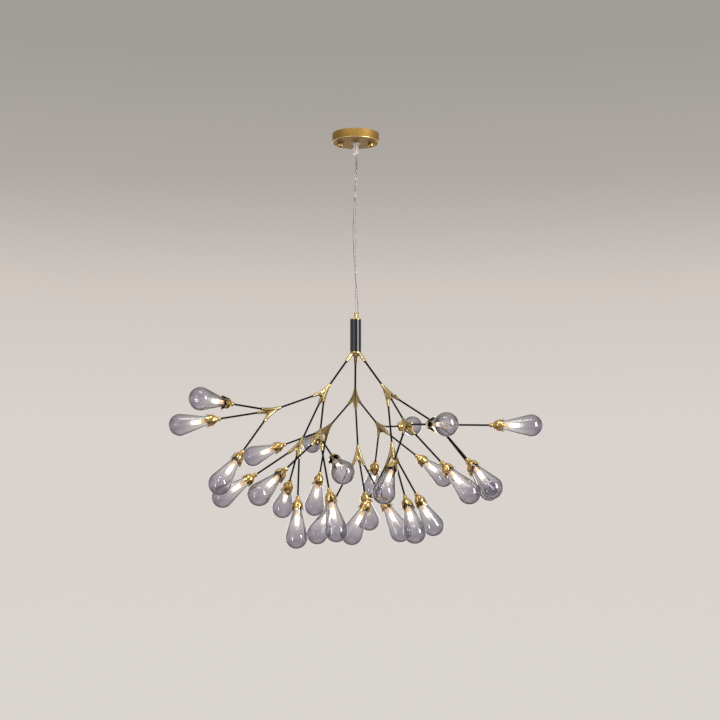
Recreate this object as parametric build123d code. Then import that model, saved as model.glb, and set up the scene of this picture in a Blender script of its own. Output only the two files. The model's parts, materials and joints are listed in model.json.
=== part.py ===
from build123d import *
import math
import os
from dataclasses import dataclass

# A branching chandelier: a canopy and cable carry a hub with three limbs. Each limb ends in a
# three-way junction with three branches, and each branch carries a spray that turns on it: a
# second junction with three twigs, each with a petal cup, a lamp holder, an LED lamp and a glass.
# Millimetres and degrees. The origin is the middle of the ceiling face. +Z is up, +X is to the
# right seen from the front, and +Y runs away from the front.

# Fits
FIT = 0.15
TURN_CLEARANCE = 0.1
END_GAP = 0.3

# Ceiling bracket, a flat bar screwed to the ceiling
BRACKET_LENGTH = 100.0
BRACKET_WIDTH = 22.0
BRACKET_THICKNESS = 2.5
CEILING_SCREW_SPACING = 54.0
CEILING_SCREW_HOLE = 4.5

# Canopy, a spun cup with an open top
CANOPY_DIAMETER = 120.0
CANOPY_HEIGHT = 24.0
CANOPY_WALL = 1.2
CANOPY_EDGE_RADIUS = 3.0

# Studs through the canopy, with domed nuts
STUD_SPACING = 78.0
STUD_DIAMETER = 4.0
NUT_DIAMETER = 15.0
NUT_HEIGHT = 13.0
NUT_BORE_DEPTH = 9.0

# Cord grip in the middle of the canopy, with a soft sleeve on its nose
GRIP_FLANGE_DIAMETER = 18.0
GRIP_FLANGE_HEIGHT = 3.0
GRIP_NOSE_DIAMETER = 14.0
GRIP_NOSE_TIP_DIAMETER = 13.4
GRIP_NOSE_HEIGHT = 8.0
GRIP_SLEEVE_DIAMETER = 15.6
GRIP_SLEEVE_TIP_DIAMETER = 13.6
GRIP_SLEEVE_HEIGHT = 18.0
GRIP_CORD_ROOM = 0.45
GRIP_THREAD_DIAMETER = 13.4
GRIP_THREAD_HEIGHT = 6.0
GRIP_NUT_ACROSS = 20.0
GRIP_NUT_HEIGHT = 3.5

# Terminal block under the bracket
TERMINAL_LENGTH = 16.0
TERMINAL_WIDTH = 18.0
TERMINAL_HEIGHT = 11.0

# Steel cable, with a crimped stop at each end
CABLE_DIAMETER = 1.2
STOP_DIAMETER = 3.4
STOP_LENGTH = 5.0

# Clear power cord and the clips that hold it beside the cable
CORD_DIAMETER = 3.6
CORD_TOP_OFFSET = 3.8
CORD_HUB_OFFSET = 6.8
CORD_BEND_ABOVE_HUB = 12.0
CORD_BEND_BELOW_GRIP = 3.0
CORD_ARC_SHARE = 0.45
CLIP_HEIGHT = 3.0
CLIP_WALL = 0.9
CLIP_CLEARANCE = 0.35
CLIP_RUNS = (2, 3, 7)

# Hub
APEX_DROP = 557.0
HUB_DIAMETER = 28.5
HUB_WALL = 1.2
HUB_LENGTH = 82.0
HUB_TUBE_BELOW_APEX = 9.0
CAP_THICKNESS = 2.0
CAP_PLUG_LENGTH = 6.0
CAP_PLUG_WALL = 2.0
GRIPPER_DIAMETER = 8.0
GRIPPER_TIP_DIAMETER = 5.0
GRIPPER_HEIGHT = 18.0
GRIPPER_TIP_HEIGHT = 5.0
GRIPPER_TAIL_DIAMETER = 6.0
GRIPPER_TAIL_LENGTH = 9.0
DRIVER_WIDTH = 16.4
DRIVER_LENGTH = 52.0
MANIFOLD_RIM_HEIGHT = 4.0
MANIFOLD_CONE_HEIGHT = 9.0
MANIFOLD_CONE_DIAMETER = 12.0
MANIFOLD_PLUG_LENGTH = 8.0
MANIFOLD_PLUG_BORE = 12.0
SOCKET_DIAMETER = 9.4
SOCKET_TIP_DIAMETER = 8.4
SOCKET_REACH = 45.0

# Rods, all steel tube that carries the lamp wires
LIMB_DIAMETER = 5.0
ROD_DIAMETER = 4.6
WIRE_BORE = 2.0
ROD_SEAT = 13.0

# Three-way junction castings
JUNCTION_SPREAD = 32.5
INLET_REACH = 25.0
INLET_TIP_DIAMETER = 7.0
OUTLET_REACH = 35.0
OUTLET_TIP_DIAMETER = 7.0
KNUCKLE_DIAMETER = 11.0
ARM_ROOT_DIAMETER = 9.6
WEB_REACH = 27.0
WEB_WAIST = 16.0
WEB_THICKNESS = 3.2

# Distances along the axes between the middles of the castings, and to the lamp
LIMB_REACH = 146.0
BRANCH_REACH = 150.0
TWIG_REACH = 127.0
LIMB_TILT = 38.0

# Petal cup, measured from the end of the twig that shows
CUP_COLLAR_DIAMETER = 11.0
CUP_TIP_DIAMETER = 6.6
CUP_COLLAR_START = 3.0
CUP_COLLAR_END = 7.5
CUP_WAIST_DIAMETER = 9.4
CUP_WAIST_HEIGHT = 9.0
CUP_FLOOR = 12.0
CUP_FLOOR_RADIUS = 8.0
CUP_LENGTH = 38.0
CUP_WALL = 0.9
CUP_FLARE = 2.0
PETALS = 4
PETAL_SLIT_START = 13.0
PETAL_SLIT_WIDTH = 1.0
PETAL_SLIT_MIDDLE = 4.4
PETAL_TIP_SHARE = 0.92

# Lamp holder, standing on the cup's floor
HOLDER_FOOT_DIAMETER = 13.0
HOLDER_FLANGE_START = 9.0
HOLDER_FLANGE_THICKNESS = 3.0
HOLDER_DIAMETER = 19.0
HOLDER_HEIGHT = 23.0

# LED lamp, standing on the holder
LAMP_BASE_DIAMETER = 11.0
LAMP_BASE_HEIGHT = 7.0
LAMP_DIAMETER = 13.0
LAMP_LENGTH = 51.0

# Glass shade, a pear with its neck round the holder
GLASS_DIAMETER = 55.0
GLASS_WALL = 1.4
GLASS_CENTRE = 104.0
NECK_DIAMETER = 25.0
NECK_LENGTH = 13.0
NECK_FLARE_RADIUS = 40.0
NECK_ROOM = 0.4

# Where each limb points, turned from straight away from the front towards the right, and how
# far its junction is turned on it
LIMBS = {"left": (-121, 10), "rear": (-1, 296), "right": (119, 196)}


@dataclass(frozen=True)
class Branch:
    """One branch: its limb, the outlet it leaves by, its spray's turn and how far it droops."""

    name: str
    limb: str
    outlet: int
    clock: float
    droop: float = 0.0


BRANCHES = [
    Branch("left_outer", "left", 0, 314),
    Branch("left_lower", "left", 1, 315),
    Branch("left_inner", "left", 2, 81),
    Branch("rear_left", "rear", 0, 287),
    Branch("rear_lower", "rear", 2, 229, droop=-3),
    Branch("rear_right", "rear", 1, 231),
    Branch("right_lower", "right", 0, 219, droop=5),
    Branch("right_inner", "right", 2, 120),
    Branch("right_outer", "right", 1, 359, droop=8),
]

# Worked out from the sizes above
UP = Vector(0, 0, 1)
LEAST_LEAN = 1e-6
CENTRE_MIN = (Align.CENTER, Align.CENTER, Align.MIN)
APEX = Vector(0, 0, -APEX_DROP)
HUB_BOTTOM = -APEX_DROP - HUB_TUBE_BELOW_APEX
HUB_TOP = HUB_BOTTOM + HUB_LENGTH
CAP_TOP = HUB_TOP + CAP_THICKNESS
HUB_BORE = HUB_DIAMETER - 2 * HUB_WALL
PLUG_DIAMETER = HUB_BORE - 2 * FIT
DRIVER_FLOOR = HUB_BOTTOM + MANIFOLD_PLUG_LENGTH
DRIVER_TOP = DRIVER_FLOOR + DRIVER_LENGTH
GRIP_TOP = -CANOPY_HEIGHT + CANOPY_WALL + GRIP_THREAD_HEIGHT
GRIP_NOSE_END = -CANOPY_HEIGHT - GRIP_FLANGE_HEIGHT - GRIP_NOSE_HEIGHT
GRIP_END = GRIP_NOSE_END - GRIP_SLEEVE_HEIGHT
TERMINAL_FLOOR = -BRACKET_THICKNESS - TERMINAL_HEIGHT
GLASS_MOUTH = CUP_FLOOR + HOLDER_FLANGE_START + HOLDER_FLANGE_THICKNESS
HOLDER_TOP = CUP_FLOOR + HOLDER_HEIGHT
CUP_MOUTH_RADIUS = NECK_DIAMETER / 2 + NECK_ROOM

# The power cord's route, chosen by eye: out of the canopy on the right, across in front of the
# cable to the left, and back to the right into the hub
CORD_ROUTE = [
    (CORD_TOP_OFFSET, 0, TERMINAL_FLOOR),
    (CORD_TOP_OFFSET, 0, GRIP_END - CORD_BEND_BELOW_GRIP),
    (2.6, -2.6, -99),
    (-0.8, -3.6, -141),
    (-4.6, -3.0, -187),
    (-6.4, -1.8, -238),
    (-5.6, -2.4, -290),
    (-3.6, -3.4, -338),
    (0.6, -4.2, -386),
    (5.0, -2.2, -432),
    (CORD_HUB_OFFSET, 0, CAP_TOP + CORD_BEND_ABOVE_HUB),
    (CORD_HUB_OFFSET, 0, DRIVER_TOP),
]


def rod(diameter, start, end):
    """A solid round bar along Z from start to end."""
    return Pos(0, 0, start) * Cylinder(diameter / 2, end - start, align=CENTRE_MIN)


def tube(diameter, bore, start, end):
    """A round tube along Z from start to end."""
    return rod(diameter, start, end) - rod(bore, start, end)


def taper(first, last, start, end):
    """A straight taper along Z, from the first diameter at start to the last at end."""
    return Pos(0, 0, start) * Cone(first / 2, last / 2, end - start, align=CENTRE_MIN)


def turned(points):
    """A solid turned about Z from an outline of (radius, height) points."""
    outline = make_face(Polyline([(r, 0, z) for r, z in points], close=True))
    return revolve(outline, Axis.Z)


def unit(heading, fall):
    """A direction from its heading off +Y towards +X and its angle off straight down."""
    h, f = math.radians(heading), math.radians(fall)
    return Vector(math.sin(f) * math.sin(h), math.sin(f) * math.cos(h), -math.cos(f))


def lean_of(axis):
    """The direction square to an axis that leans up most, or +Y for an upright axis."""
    lean = UP - axis * axis.dot(UP)
    return lean.normalized() if lean.length > LEAST_LEAN else Vector(0, 1, 0)


def placed(point, axis):
    """The place with its Z along axis and its X leaning up."""
    return Location(Plane(origin=point, x_dir=lean_of(axis), z_dir=axis))


def outlet_axes(axis, clock):
    """The three outlet directions of a junction on this axis, turned by clock."""
    lean = lean_of(axis)
    side = axis.cross(lean)
    spread = math.radians(JUNCTION_SPREAD)
    axes = []
    for k in range(3):
        turn = math.radians(clock + 120 * k)
        outward = lean * math.cos(turn) + side * math.sin(turn)
        axes.append(axis * math.cos(spread) + outward * math.sin(spread))
    return axes


def drooped(axis, droop):
    """The direction turned down by droop in its own upright plane."""
    level = (axis - UP * axis.dot(UP)).normalized()
    rise = math.asin(axis.dot(UP)) - math.radians(droop)
    return level * math.cos(rise) + UP * math.sin(rise)


def limb_axis(limb):
    """The direction of a limb."""
    return unit(LIMBS[limb][0], LIMB_TILT)


def limb_end(limb):
    """The middle of the junction on a limb."""
    return APEX + limb_axis(limb) * LIMB_REACH


def branches_of(limb):
    """The branches on a limb."""
    return [branch for branch in BRANCHES if branch.limb == limb]


def branch_axis(branch):
    """The direction of a branch."""
    axes = outlet_axes(limb_axis(branch.limb), LIMBS[branch.limb][1])
    return drooped(axes[branch.outlet], branch.droop)


def branch_end(branch):
    """The middle of the junction on a branch."""
    return limb_end(branch.limb) + branch_axis(branch) * BRANCH_REACH


def twig_places(branch):
    """The place of each lamp of a spray, at the end of the twig that shows."""
    axes = outlet_axes(branch_axis(branch), branch.clock)
    return [placed(branch_end(branch) + axis * TWIG_REACH, axis) for axis in axes]


def save(name, *solids):
    """Write one node."""
    shape = solids[0] if len(solids) == 1 else Compound(children=list(solids))
    export_step(shape, f"parts/{name}.step")


def stud_places():
    """The two places of the studs in the canopy."""
    return [Pos(side * STUD_SPACING / 2, 0, 0) for side in (-1, 1)]


def ceiling_bracket():
    """The flat bar against the ceiling, with its screw holes and stud holes."""
    bar = SlotOverall(BRACKET_LENGTH, BRACKET_WIDTH)
    for place in stud_places():
        bar -= place * Circle(STUD_DIAMETER / 2 + FIT)
    for side in (-1, 1):
        bar -= Pos(side * CEILING_SCREW_SPACING / 2, 0) * Circle(CEILING_SCREW_HOLE / 2)
    return extrude(bar, -BRACKET_THICKNESS)


def canopy_cover():
    """The canopy cup, with holes for the studs and the cord grip."""
    outer = rod(CANOPY_DIAMETER, -CANOPY_HEIGHT, 0)
    rim = outer.faces().sort_by(Axis.Z)[0].edges()
    outer = fillet(rim, CANOPY_EDGE_RADIUS)
    inner = rod(CANOPY_DIAMETER - 2 * CANOPY_WALL, -CANOPY_HEIGHT + CANOPY_WALL, 0)
    corner = inner.faces().sort_by(Axis.Z)[0].edges()
    cup = outer - fillet(corner, CANOPY_EDGE_RADIUS - CANOPY_WALL)
    cup -= rod(GRIP_THREAD_DIAMETER + 2 * FIT, -CANOPY_HEIGHT, 0)
    for place in stud_places():
        cup -= place * rod(STUD_DIAMETER + 2 * FIT, -CANOPY_HEIGHT, 0)
    return cup


def canopy_fasteners():
    """Two studs hanging from the bracket and the domed nuts that hold the canopy up."""
    top = -CANOPY_HEIGHT
    crown = NUT_HEIGHT - NUT_DIAMETER / 2
    nut = rod(NUT_DIAMETER, top - crown, top) + Pos(0, 0, top - crown) * Sphere(NUT_DIAMETER / 2)
    nut &= rod(NUT_DIAMETER + FIT, top - NUT_HEIGHT, top)
    nut -= rod(STUD_DIAMETER + 2 * FIT, top - NUT_BORE_DEPTH, top)
    stud = rod(STUD_DIAMETER, top - NUT_BORE_DEPTH, 0)
    return [place * piece for place in stud_places() for piece in (stud, nut)]


def cord_grip():
    """The gland and its sleeve, bored for the cable and the cord, and the lock nut inside."""
    under = -CANOPY_HEIGHT
    inside = under + CANOPY_WALL
    gland = rod(GRIP_THREAD_DIAMETER, under, GRIP_TOP)
    gland += rod(GRIP_FLANGE_DIAMETER, under - GRIP_FLANGE_HEIGHT, under)
    gland += taper(
        GRIP_NOSE_TIP_DIAMETER, GRIP_NOSE_DIAMETER, GRIP_NOSE_END, under - GRIP_FLANGE_HEIGHT
    )
    gland += taper(GRIP_SLEEVE_TIP_DIAMETER, GRIP_SLEEVE_DIAMETER, GRIP_END, GRIP_NOSE_END)
    gland -= rod(CABLE_DIAMETER + 2 * END_GAP, GRIP_END, GRIP_TOP)
    bore = CORD_DIAMETER + 2 * GRIP_CORD_ROOM
    gland -= Pos(CORD_TOP_OFFSET, 0, 0) * rod(bore, GRIP_END, GRIP_TOP)
    hexagon = RegularPolygon(GRIP_NUT_ACROSS / 2, 6, major_radius=False)
    nut = Pos(0, 0, inside) * extrude(hexagon, GRIP_NUT_HEIGHT)
    nut -= rod(GRIP_THREAD_DIAMETER + 2 * FIT, inside, inside + GRIP_NUT_HEIGHT)
    return [gland, nut]


def terminal_block():
    """The screw terminal under the bracket that the cord's wires go into."""
    edge = CORD_TOP_OFFSET - CORD_DIAMETER / 2 + FIT
    corner = (Align.MIN, Align.CENTER, Align.MAX)
    size = (TERMINAL_LENGTH, TERMINAL_WIDTH, TERMINAL_HEIGHT)
    return Pos(edge, 0, -BRACKET_THICKNESS) * Box(*size, align=corner)


def steel_cable():
    """The taut cable from above the grip to below the gripper, with its crimped stops."""
    top = GRIP_TOP + END_GAP
    bottom = CAP_TOP - GRIPPER_TAIL_LENGTH
    cable = rod(CABLE_DIAMETER, bottom - STOP_LENGTH, top + STOP_LENGTH)
    cable += rod(STOP_DIAMETER, top, top + STOP_LENGTH)
    return cable + rod(STOP_DIAMETER, bottom - STOP_LENGTH, bottom)


def cord_radii():
    """The bend radius at each inner point of the cord's route, as large as its runs allow."""
    points = [Vector(*point) for point in CORD_ROUTE]
    runs = [b - a for a, b in zip(points, points[1:])]
    radii = []
    for first, last in zip(runs, runs[1:]):
        half_turn = math.radians(first.get_angle(last)) / 2
        radii.append(CORD_ARC_SHARE * min(first.length, last.length) / math.tan(half_turn))
    return radii


def cord_clip(run):
    """A clear clip round the cable and the cord, at the middle of one run of the cord."""
    start, end = Vector(*CORD_ROUTE[run]), Vector(*CORD_ROUTE[run + 1])
    middle = (start + end) * 0.5
    cord_at = Vector(middle.X, middle.Y, 0)
    slot = SlotCenterToCenter(cord_at.length, CORD_DIAMETER + 2 * (CLIP_CLEARANCE + CLIP_WALL))
    turn = math.degrees(math.atan2(cord_at.Y, cord_at.X))
    slot = Pos(cord_at.X / 2, cord_at.Y / 2) * Rot(0, 0, turn) * slot
    slot -= Circle(CABLE_DIAMETER / 2 + FIT)
    slot -= Pos(cord_at.X, cord_at.Y) * Circle(CORD_DIAMETER / 2 + CLIP_CLEARANCE)
    return Pos(0, 0, middle.Z - CLIP_HEIGHT / 2) * extrude(slot, CLIP_HEIGHT)


def power_cord():
    """The clear cord from the terminal block to the LED driver, and its clips."""
    radii = cord_radii()
    path = FilletPolyline(*CORD_ROUTE, radius=radii)
    start = Plane(origin=CORD_ROUTE[0], z_dir=path % 0)
    cord = sweep(start * Circle(CORD_DIAMETER / 2), path)
    print("cord radii", [round(radius) for radius in radii])
    section = math.pi * CORD_DIAMETER**2 / 4
    print("cord length", round(path.length, 1), "volume ratio", cord.volume / section / path.length)
    return [cord] + [cord_clip(run) for run in CLIP_RUNS]


def cable_gripper():
    """The gripper on the hub that holds the cable, with its threaded tail through the cap."""
    shoulder = CAP_TOP + GRIPPER_HEIGHT - GRIPPER_TIP_HEIGHT
    body = rod(GRIPPER_DIAMETER, CAP_TOP, shoulder)
    body += taper(GRIPPER_DIAMETER, GRIPPER_TIP_DIAMETER, shoulder, CAP_TOP + GRIPPER_HEIGHT)
    body += rod(GRIPPER_TAIL_DIAMETER, CAP_TOP - GRIPPER_TAIL_LENGTH, CAP_TOP)
    bore = CABLE_DIAMETER + 2 * FIT
    return body - rod(bore, CAP_TOP - GRIPPER_TAIL_LENGTH, CAP_TOP + GRIPPER_HEIGHT)


def hub_top_cap():
    """The cap on the hub tube, with a hole for the gripper and one for the cord."""
    skirt_bore = PLUG_DIAMETER - 2 * CAP_PLUG_WALL
    cap = rod(HUB_DIAMETER, HUB_TOP, CAP_TOP)
    cap += tube(PLUG_DIAMETER, skirt_bore, HUB_TOP - CAP_PLUG_LENGTH, HUB_TOP)
    cap -= rod(GRIPPER_TAIL_DIAMETER + 2 * FIT, HUB_TOP, CAP_TOP)
    return cap - Pos(CORD_HUB_OFFSET, 0, 0) * rod(CORD_DIAMETER + 2 * FIT, HUB_TOP, CAP_TOP)


def hub_tube():
    """The hub's tube, which hides the LED driver."""
    return tube(HUB_DIAMETER, HUB_BORE, HUB_BOTTOM, HUB_TOP)


def led_driver():
    """The LED driver inside the hub, standing on the manifold."""
    return Pos(0, 0, DRIVER_FLOOR) * Box(
        DRIVER_WIDTH, DRIVER_WIDTH, DRIVER_LENGTH, align=CENTRE_MIN
    )


def hub_manifold():
    """The casting under the hub: a plug in the tube, a rim, a cone and three rod sockets."""
    rim_bottom = HUB_BOTTOM - MANIFOLD_RIM_HEIGHT
    cone_bottom = rim_bottom - MANIFOLD_CONE_HEIGHT
    body = rod(PLUG_DIAMETER, HUB_BOTTOM, DRIVER_FLOOR)
    body += rod(HUB_DIAMETER, rim_bottom, HUB_BOTTOM)
    body += taper(MANIFOLD_CONE_DIAMETER, HUB_DIAMETER, cone_bottom, rim_bottom)
    root = (HUB_TUBE_BELOW_APEX + SOCKET_DIAMETER / 2) / math.cos(math.radians(LIMB_TILT))
    places = [placed(APEX, limb_axis(limb)) for limb in LIMBS]
    for place in places:
        body += place * taper(SOCKET_DIAMETER, SOCKET_TIP_DIAMETER, root, SOCKET_REACH)
    body -= rod(MANIFOLD_PLUG_BORE, HUB_BOTTOM, DRIVER_FLOOR)
    for place in places:
        body -= place * rod(LIMB_DIAMETER + 2 * FIT, SOCKET_REACH - ROD_SEAT, SOCKET_REACH)
        body -= place * rod(WIRE_BORE, HUB_TUBE_BELOW_APEX, SOCKET_REACH)
    return body


def limb_rods():
    """Three rods from the manifold's sockets to the limb junctions."""
    start = SOCKET_REACH - ROD_SEAT
    end = LIMB_REACH - INLET_REACH + ROD_SEAT
    bar = tube(LIMB_DIAMETER, WIRE_BORE, start, end)
    return [placed(APEX, limb_axis(limb)) * bar for limb in LIMBS]


def web_bell(axes):
    """The webs between the outlets: a thin bell through their axes, scalloped between them."""
    spread = math.radians(JUNCTION_SPREAD)
    height = WEB_REACH * math.cos(spread)
    rise = WEB_THICKNESS / 2 / math.sin(spread)
    slope = math.tan(spread)
    outer, inner = (height + rise) * slope, (height - rise) * slope
    bell = turned([(0, -rise), (outer, height), (inner, height), (0, rise)])
    for first, last in zip(axes, axes[1:] + axes[:1]):
        level = Vector(first.X + last.X, first.Y + last.Y).normalized()
        middle = level * math.sin(spread) + UP * math.cos(spread)
        bell -= Pos(middle * WEB_REACH) * Sphere(WEB_REACH - WEB_WAIST)
    return bell


def junction(axes, inlet_bore, outlet_bore):
    """A three-way casting about its middle: the inlet along -Z and outlets along the axes."""
    casting = Sphere(KNUCKLE_DIAMETER / 2) + web_bell(axes)
    casting += taper(INLET_TIP_DIAMETER, ARM_ROOT_DIAMETER, -INLET_REACH, 0)
    places = [Location(Plane(origin=(0, 0, 0), z_dir=axis)) for axis in axes]
    for place in places:
        casting += place * taper(ARM_ROOT_DIAMETER, OUTLET_TIP_DIAMETER, 0, OUTLET_REACH)
    casting -= rod(inlet_bore, -INLET_REACH, -INLET_REACH + ROD_SEAT)
    casting -= rod(WIRE_BORE, -INLET_REACH, 0)
    for place in places:
        casting -= place * rod(outlet_bore, OUTLET_REACH - ROD_SEAT, OUTLET_REACH)
        casting -= place * rod(WIRE_BORE, 0, OUTLET_REACH)
    return casting


def junction_at(point, axis, outlets, inlet_bore):
    """A junction in its place, from its directions in the room."""
    place = placed(point, axis)
    plane = Plane(place)
    local = [Vector(a.dot(plane.x_dir), a.dot(plane.y_dir), a.dot(plane.z_dir)) for a in outlets]
    return place * junction(local, inlet_bore, ROD_DIAMETER + 2 * FIT)


def main_junctions():
    """The three junctions at the ends of the limbs."""
    castings = []
    for limb in LIMBS:
        outlets = {branch.outlet: branch_axis(branch) for branch in branches_of(limb)}
        ordered = [outlets[k] for k in sorted(outlets)]
        bore = LIMB_DIAMETER + 2 * FIT
        castings.append(junction_at(limb_end(limb), limb_axis(limb), ordered, bore))
    return castings


def branch_rods():
    """The nine rods from the limb junctions to the sprays. The sprays turn on their ends."""
    start = OUTLET_REACH - ROD_SEAT
    end = BRANCH_REACH - INLET_REACH + ROD_SEAT - END_GAP
    bar = tube(ROD_DIAMETER, WIRE_BORE, start, end)
    return [placed(limb_end(b.limb), branch_axis(b)) * bar for b in BRANCHES]


def spray_casting():
    """The junction of every spray, bored to turn on its branch, with its first outlet over +X."""
    spread = math.radians(JUNCTION_SPREAD)
    first = Vector(math.sin(spread), 0, math.cos(spread))
    axes = [first.rotate(Axis.Z, 120 * k) for k in range(3)]
    return junction(axes, ROD_DIAMETER + 2 * TURN_CLEARANCE, ROD_DIAMETER + 2 * FIT)


def spray_place(branch):
    """The place of a spray's junction, turned on its branch."""
    return placed(branch_end(branch), branch_axis(branch)) * Rot(0, 0, branch.clock)


def lamp_holder():
    """The black lamp holder: a foot on the cup's floor, a flange for the glass and a barrel."""
    flange = CUP_FLOOR + HOLDER_FLANGE_START
    foot = HOLDER_FOOT_DIAMETER / 2
    rim = NECK_DIAMETER / 2
    barrel = HOLDER_DIAMETER / 2
    return turned(
        [
            (0, CUP_FLOOR),
            (foot, CUP_FLOOR),
            (barrel, flange),
            (rim, flange),
            (rim, GLASS_MOUTH),
            (barrel, GLASS_MOUTH),
            (barrel, HOLDER_TOP),
            (0, HOLDER_TOP),
        ]
    )


def twig():
    """A twig rod along a lamp's axis, from its socket in the junction to the holder's foot."""
    return tube(ROD_DIAMETER, WIRE_BORE, OUTLET_REACH - ROD_SEAT - TWIG_REACH, CUP_FLOOR)


def bell_line(offset):
    """The petals' line from the cup's floor to their tips, moved outwards by offset."""
    mouth = CUP_MOUTH_RADIUS + offset
    foot = CUP_FLOOR_RADIUS + offset
    flange = CUP_FLOOR + HOLDER_FLANGE_START
    return [
        (foot, 0, CUP_FLOOR),
        (mouth, 0, flange - offset),
        (mouth, 0, (flange + CUP_LENGTH) / 2),
        (mouth + CUP_FLARE, 0, CUP_LENGTH),
    ]


def petal_slit():
    """The gap between two petals, seen square on: narrow at the foot and wide at the tips."""
    reach = math.pi * CUP_MOUTH_RADIUS / PETALS * PETAL_TIP_SHARE
    foot = (PETAL_SLIT_WIDTH / 2, PETAL_SLIT_START)
    middle = (PETAL_SLIT_MIDDLE / 2, (PETAL_SLIT_START + CUP_LENGTH) / 2)
    tip = (reach, CUP_LENGTH)
    mirrored = [(-x, z) for x, z in (foot, middle, tip)]
    right = ThreePointArc(foot, middle, tip)
    left = ThreePointArc(mirrored[2], mirrored[1], mirrored[0])
    edges = right + Line(tip, mirrored[2]) + left + Line(mirrored[0], foot)
    return extrude(Plane.XZ * make_face(edges), CUP_MOUTH_RADIUS + CUP_FLARE + 2 * CUP_WALL)


def petal_cup():
    """The cup: a collar on the twig and a bell slit into petals, with a floor for the holder."""
    stem = turned(
        [
            (0, 0),
            (CUP_TIP_DIAMETER / 2, 0),
            (CUP_COLLAR_DIAMETER / 2, CUP_COLLAR_START),
            (CUP_COLLAR_DIAMETER / 2, CUP_COLLAR_END),
            (CUP_WAIST_DIAMETER / 2, CUP_WAIST_HEIGHT),
            (CUP_FLOOR_RADIUS + CUP_WALL, CUP_FLOOR),
            (0, CUP_FLOOR),
        ]
    )
    outer, inner = bell_line(CUP_WALL), bell_line(0)
    edges = Spline(outer) + Line(outer[-1], inner[-1]) + Spline(inner) + Line(inner[0], outer[0])
    bell = revolve(make_face(edges), Axis.Z)
    slit = petal_slit()
    for k in range(PETALS):
        bell -= Rot(0, 0, (k + 0.5) * 360 / PETALS) * slit
    return stem + bell - rod(ROD_DIAMETER + 2 * FIT, 0, CUP_FLOOR)


def led_lamp():
    """The LED lamp: a plug base and a round-ended capsule."""
    base_top = HOLDER_TOP + LAMP_BASE_HEIGHT
    crown = HOLDER_TOP + LAMP_LENGTH - LAMP_DIAMETER / 2
    lamp = rod(LAMP_BASE_DIAMETER, HOLDER_TOP, base_top)
    lamp += rod(LAMP_DIAMETER, base_top, crown)
    return lamp + Pos(0, 0, crown) * Sphere(LAMP_DIAMETER / 2)


def pear_line(inset):
    """The pear's line from its mouth to its tip, moved inwards by inset.

    The neck is straight, flares on an arc, and runs straight to touch the round end.
    """
    neck = NECK_DIAMETER / 2 - inset
    flare = NECK_FLARE_RADIUS + inset
    end = GLASS_DIAMETER / 2 - inset
    flare_at = Vector(neck + flare, GLASS_MOUTH + NECK_LENGTH)
    end_at = Vector(0, GLASS_CENTRE)
    between = flare_at - end_at
    slope = math.atan2(between.Y, between.X) + math.acos((end + flare) / between.length)
    touch = Vector(math.cos(slope), math.sin(slope))
    lean = math.degrees(slope)
    neck_top = Vector(neck, flare_at.Y)
    straight = Line((neck, GLASS_MOUTH), neck_top)
    hollow = CenterArc(flare_at, flare, 180, lean)
    flank = Line(flare_at - touch * flare, end_at + touch * end)
    crown = CenterArc(end_at, end, lean, 90 - lean)
    return straight + hollow + flank + crown


def glass_shade():
    """The pear-shaped glass, a thin shell with its mouth on the holder's flange."""
    tip = GLASS_CENTRE + GLASS_DIAMETER / 2
    mouth = NECK_DIAMETER / 2
    edges = pear_line(0) + pear_line(GLASS_WALL)
    edges += Line((0, tip - GLASS_WALL), (0, tip))
    edges += Line((mouth - GLASS_WALL, GLASS_MOUTH), (mouth, GLASS_MOUTH))
    return revolve(Plane.XZ * make_face(edges), Axis.Z)


def main():
    """Make every node."""
    os.makedirs("parts", exist_ok=True)
    save("ceiling_bracket", ceiling_bracket())
    save("canopy_cover", canopy_cover())
    save("canopy_fasteners", *canopy_fasteners())
    save("cord_grip", *cord_grip())
    save("terminal_block", terminal_block())
    save("steel_cable", steel_cable())
    save("power_cord", *power_cord())
    save("cable_gripper", cable_gripper())
    save("hub_top_cap", hub_top_cap())
    save("hub_tube", hub_tube())
    save("led_driver", led_driver())
    save("hub_manifold", hub_manifold())
    save("limb_rods", *limb_rods())
    save("main_junctions", *main_junctions())
    save("branch_rods", *branch_rods())
    casting, rod_and_holder = spray_casting(), (twig(), lamp_holder())
    cup, lamp, glass = petal_cup(), led_lamp(), glass_shade()
    for branch in BRANCHES:
        places = twig_places(branch)
        save(f"junction_{branch.name}", spray_place(branch) * casting)
        save(f"twigs_{branch.name}", *[p * piece for p in places for piece in rod_and_holder])
        save(f"petal_cups_{branch.name}", *[p * cup for p in places])
        save(f"led_lamps_{branch.name}", *[p * lamp for p in places])
        save(f"glass_shades_{branch.name}", *[p * glass for p in places])


main()
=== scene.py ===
import json
import logging
import math
from collections.abc import Callable, Sequence
from dataclasses import dataclass, field
from enum import Enum
from typing import ClassVar

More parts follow.
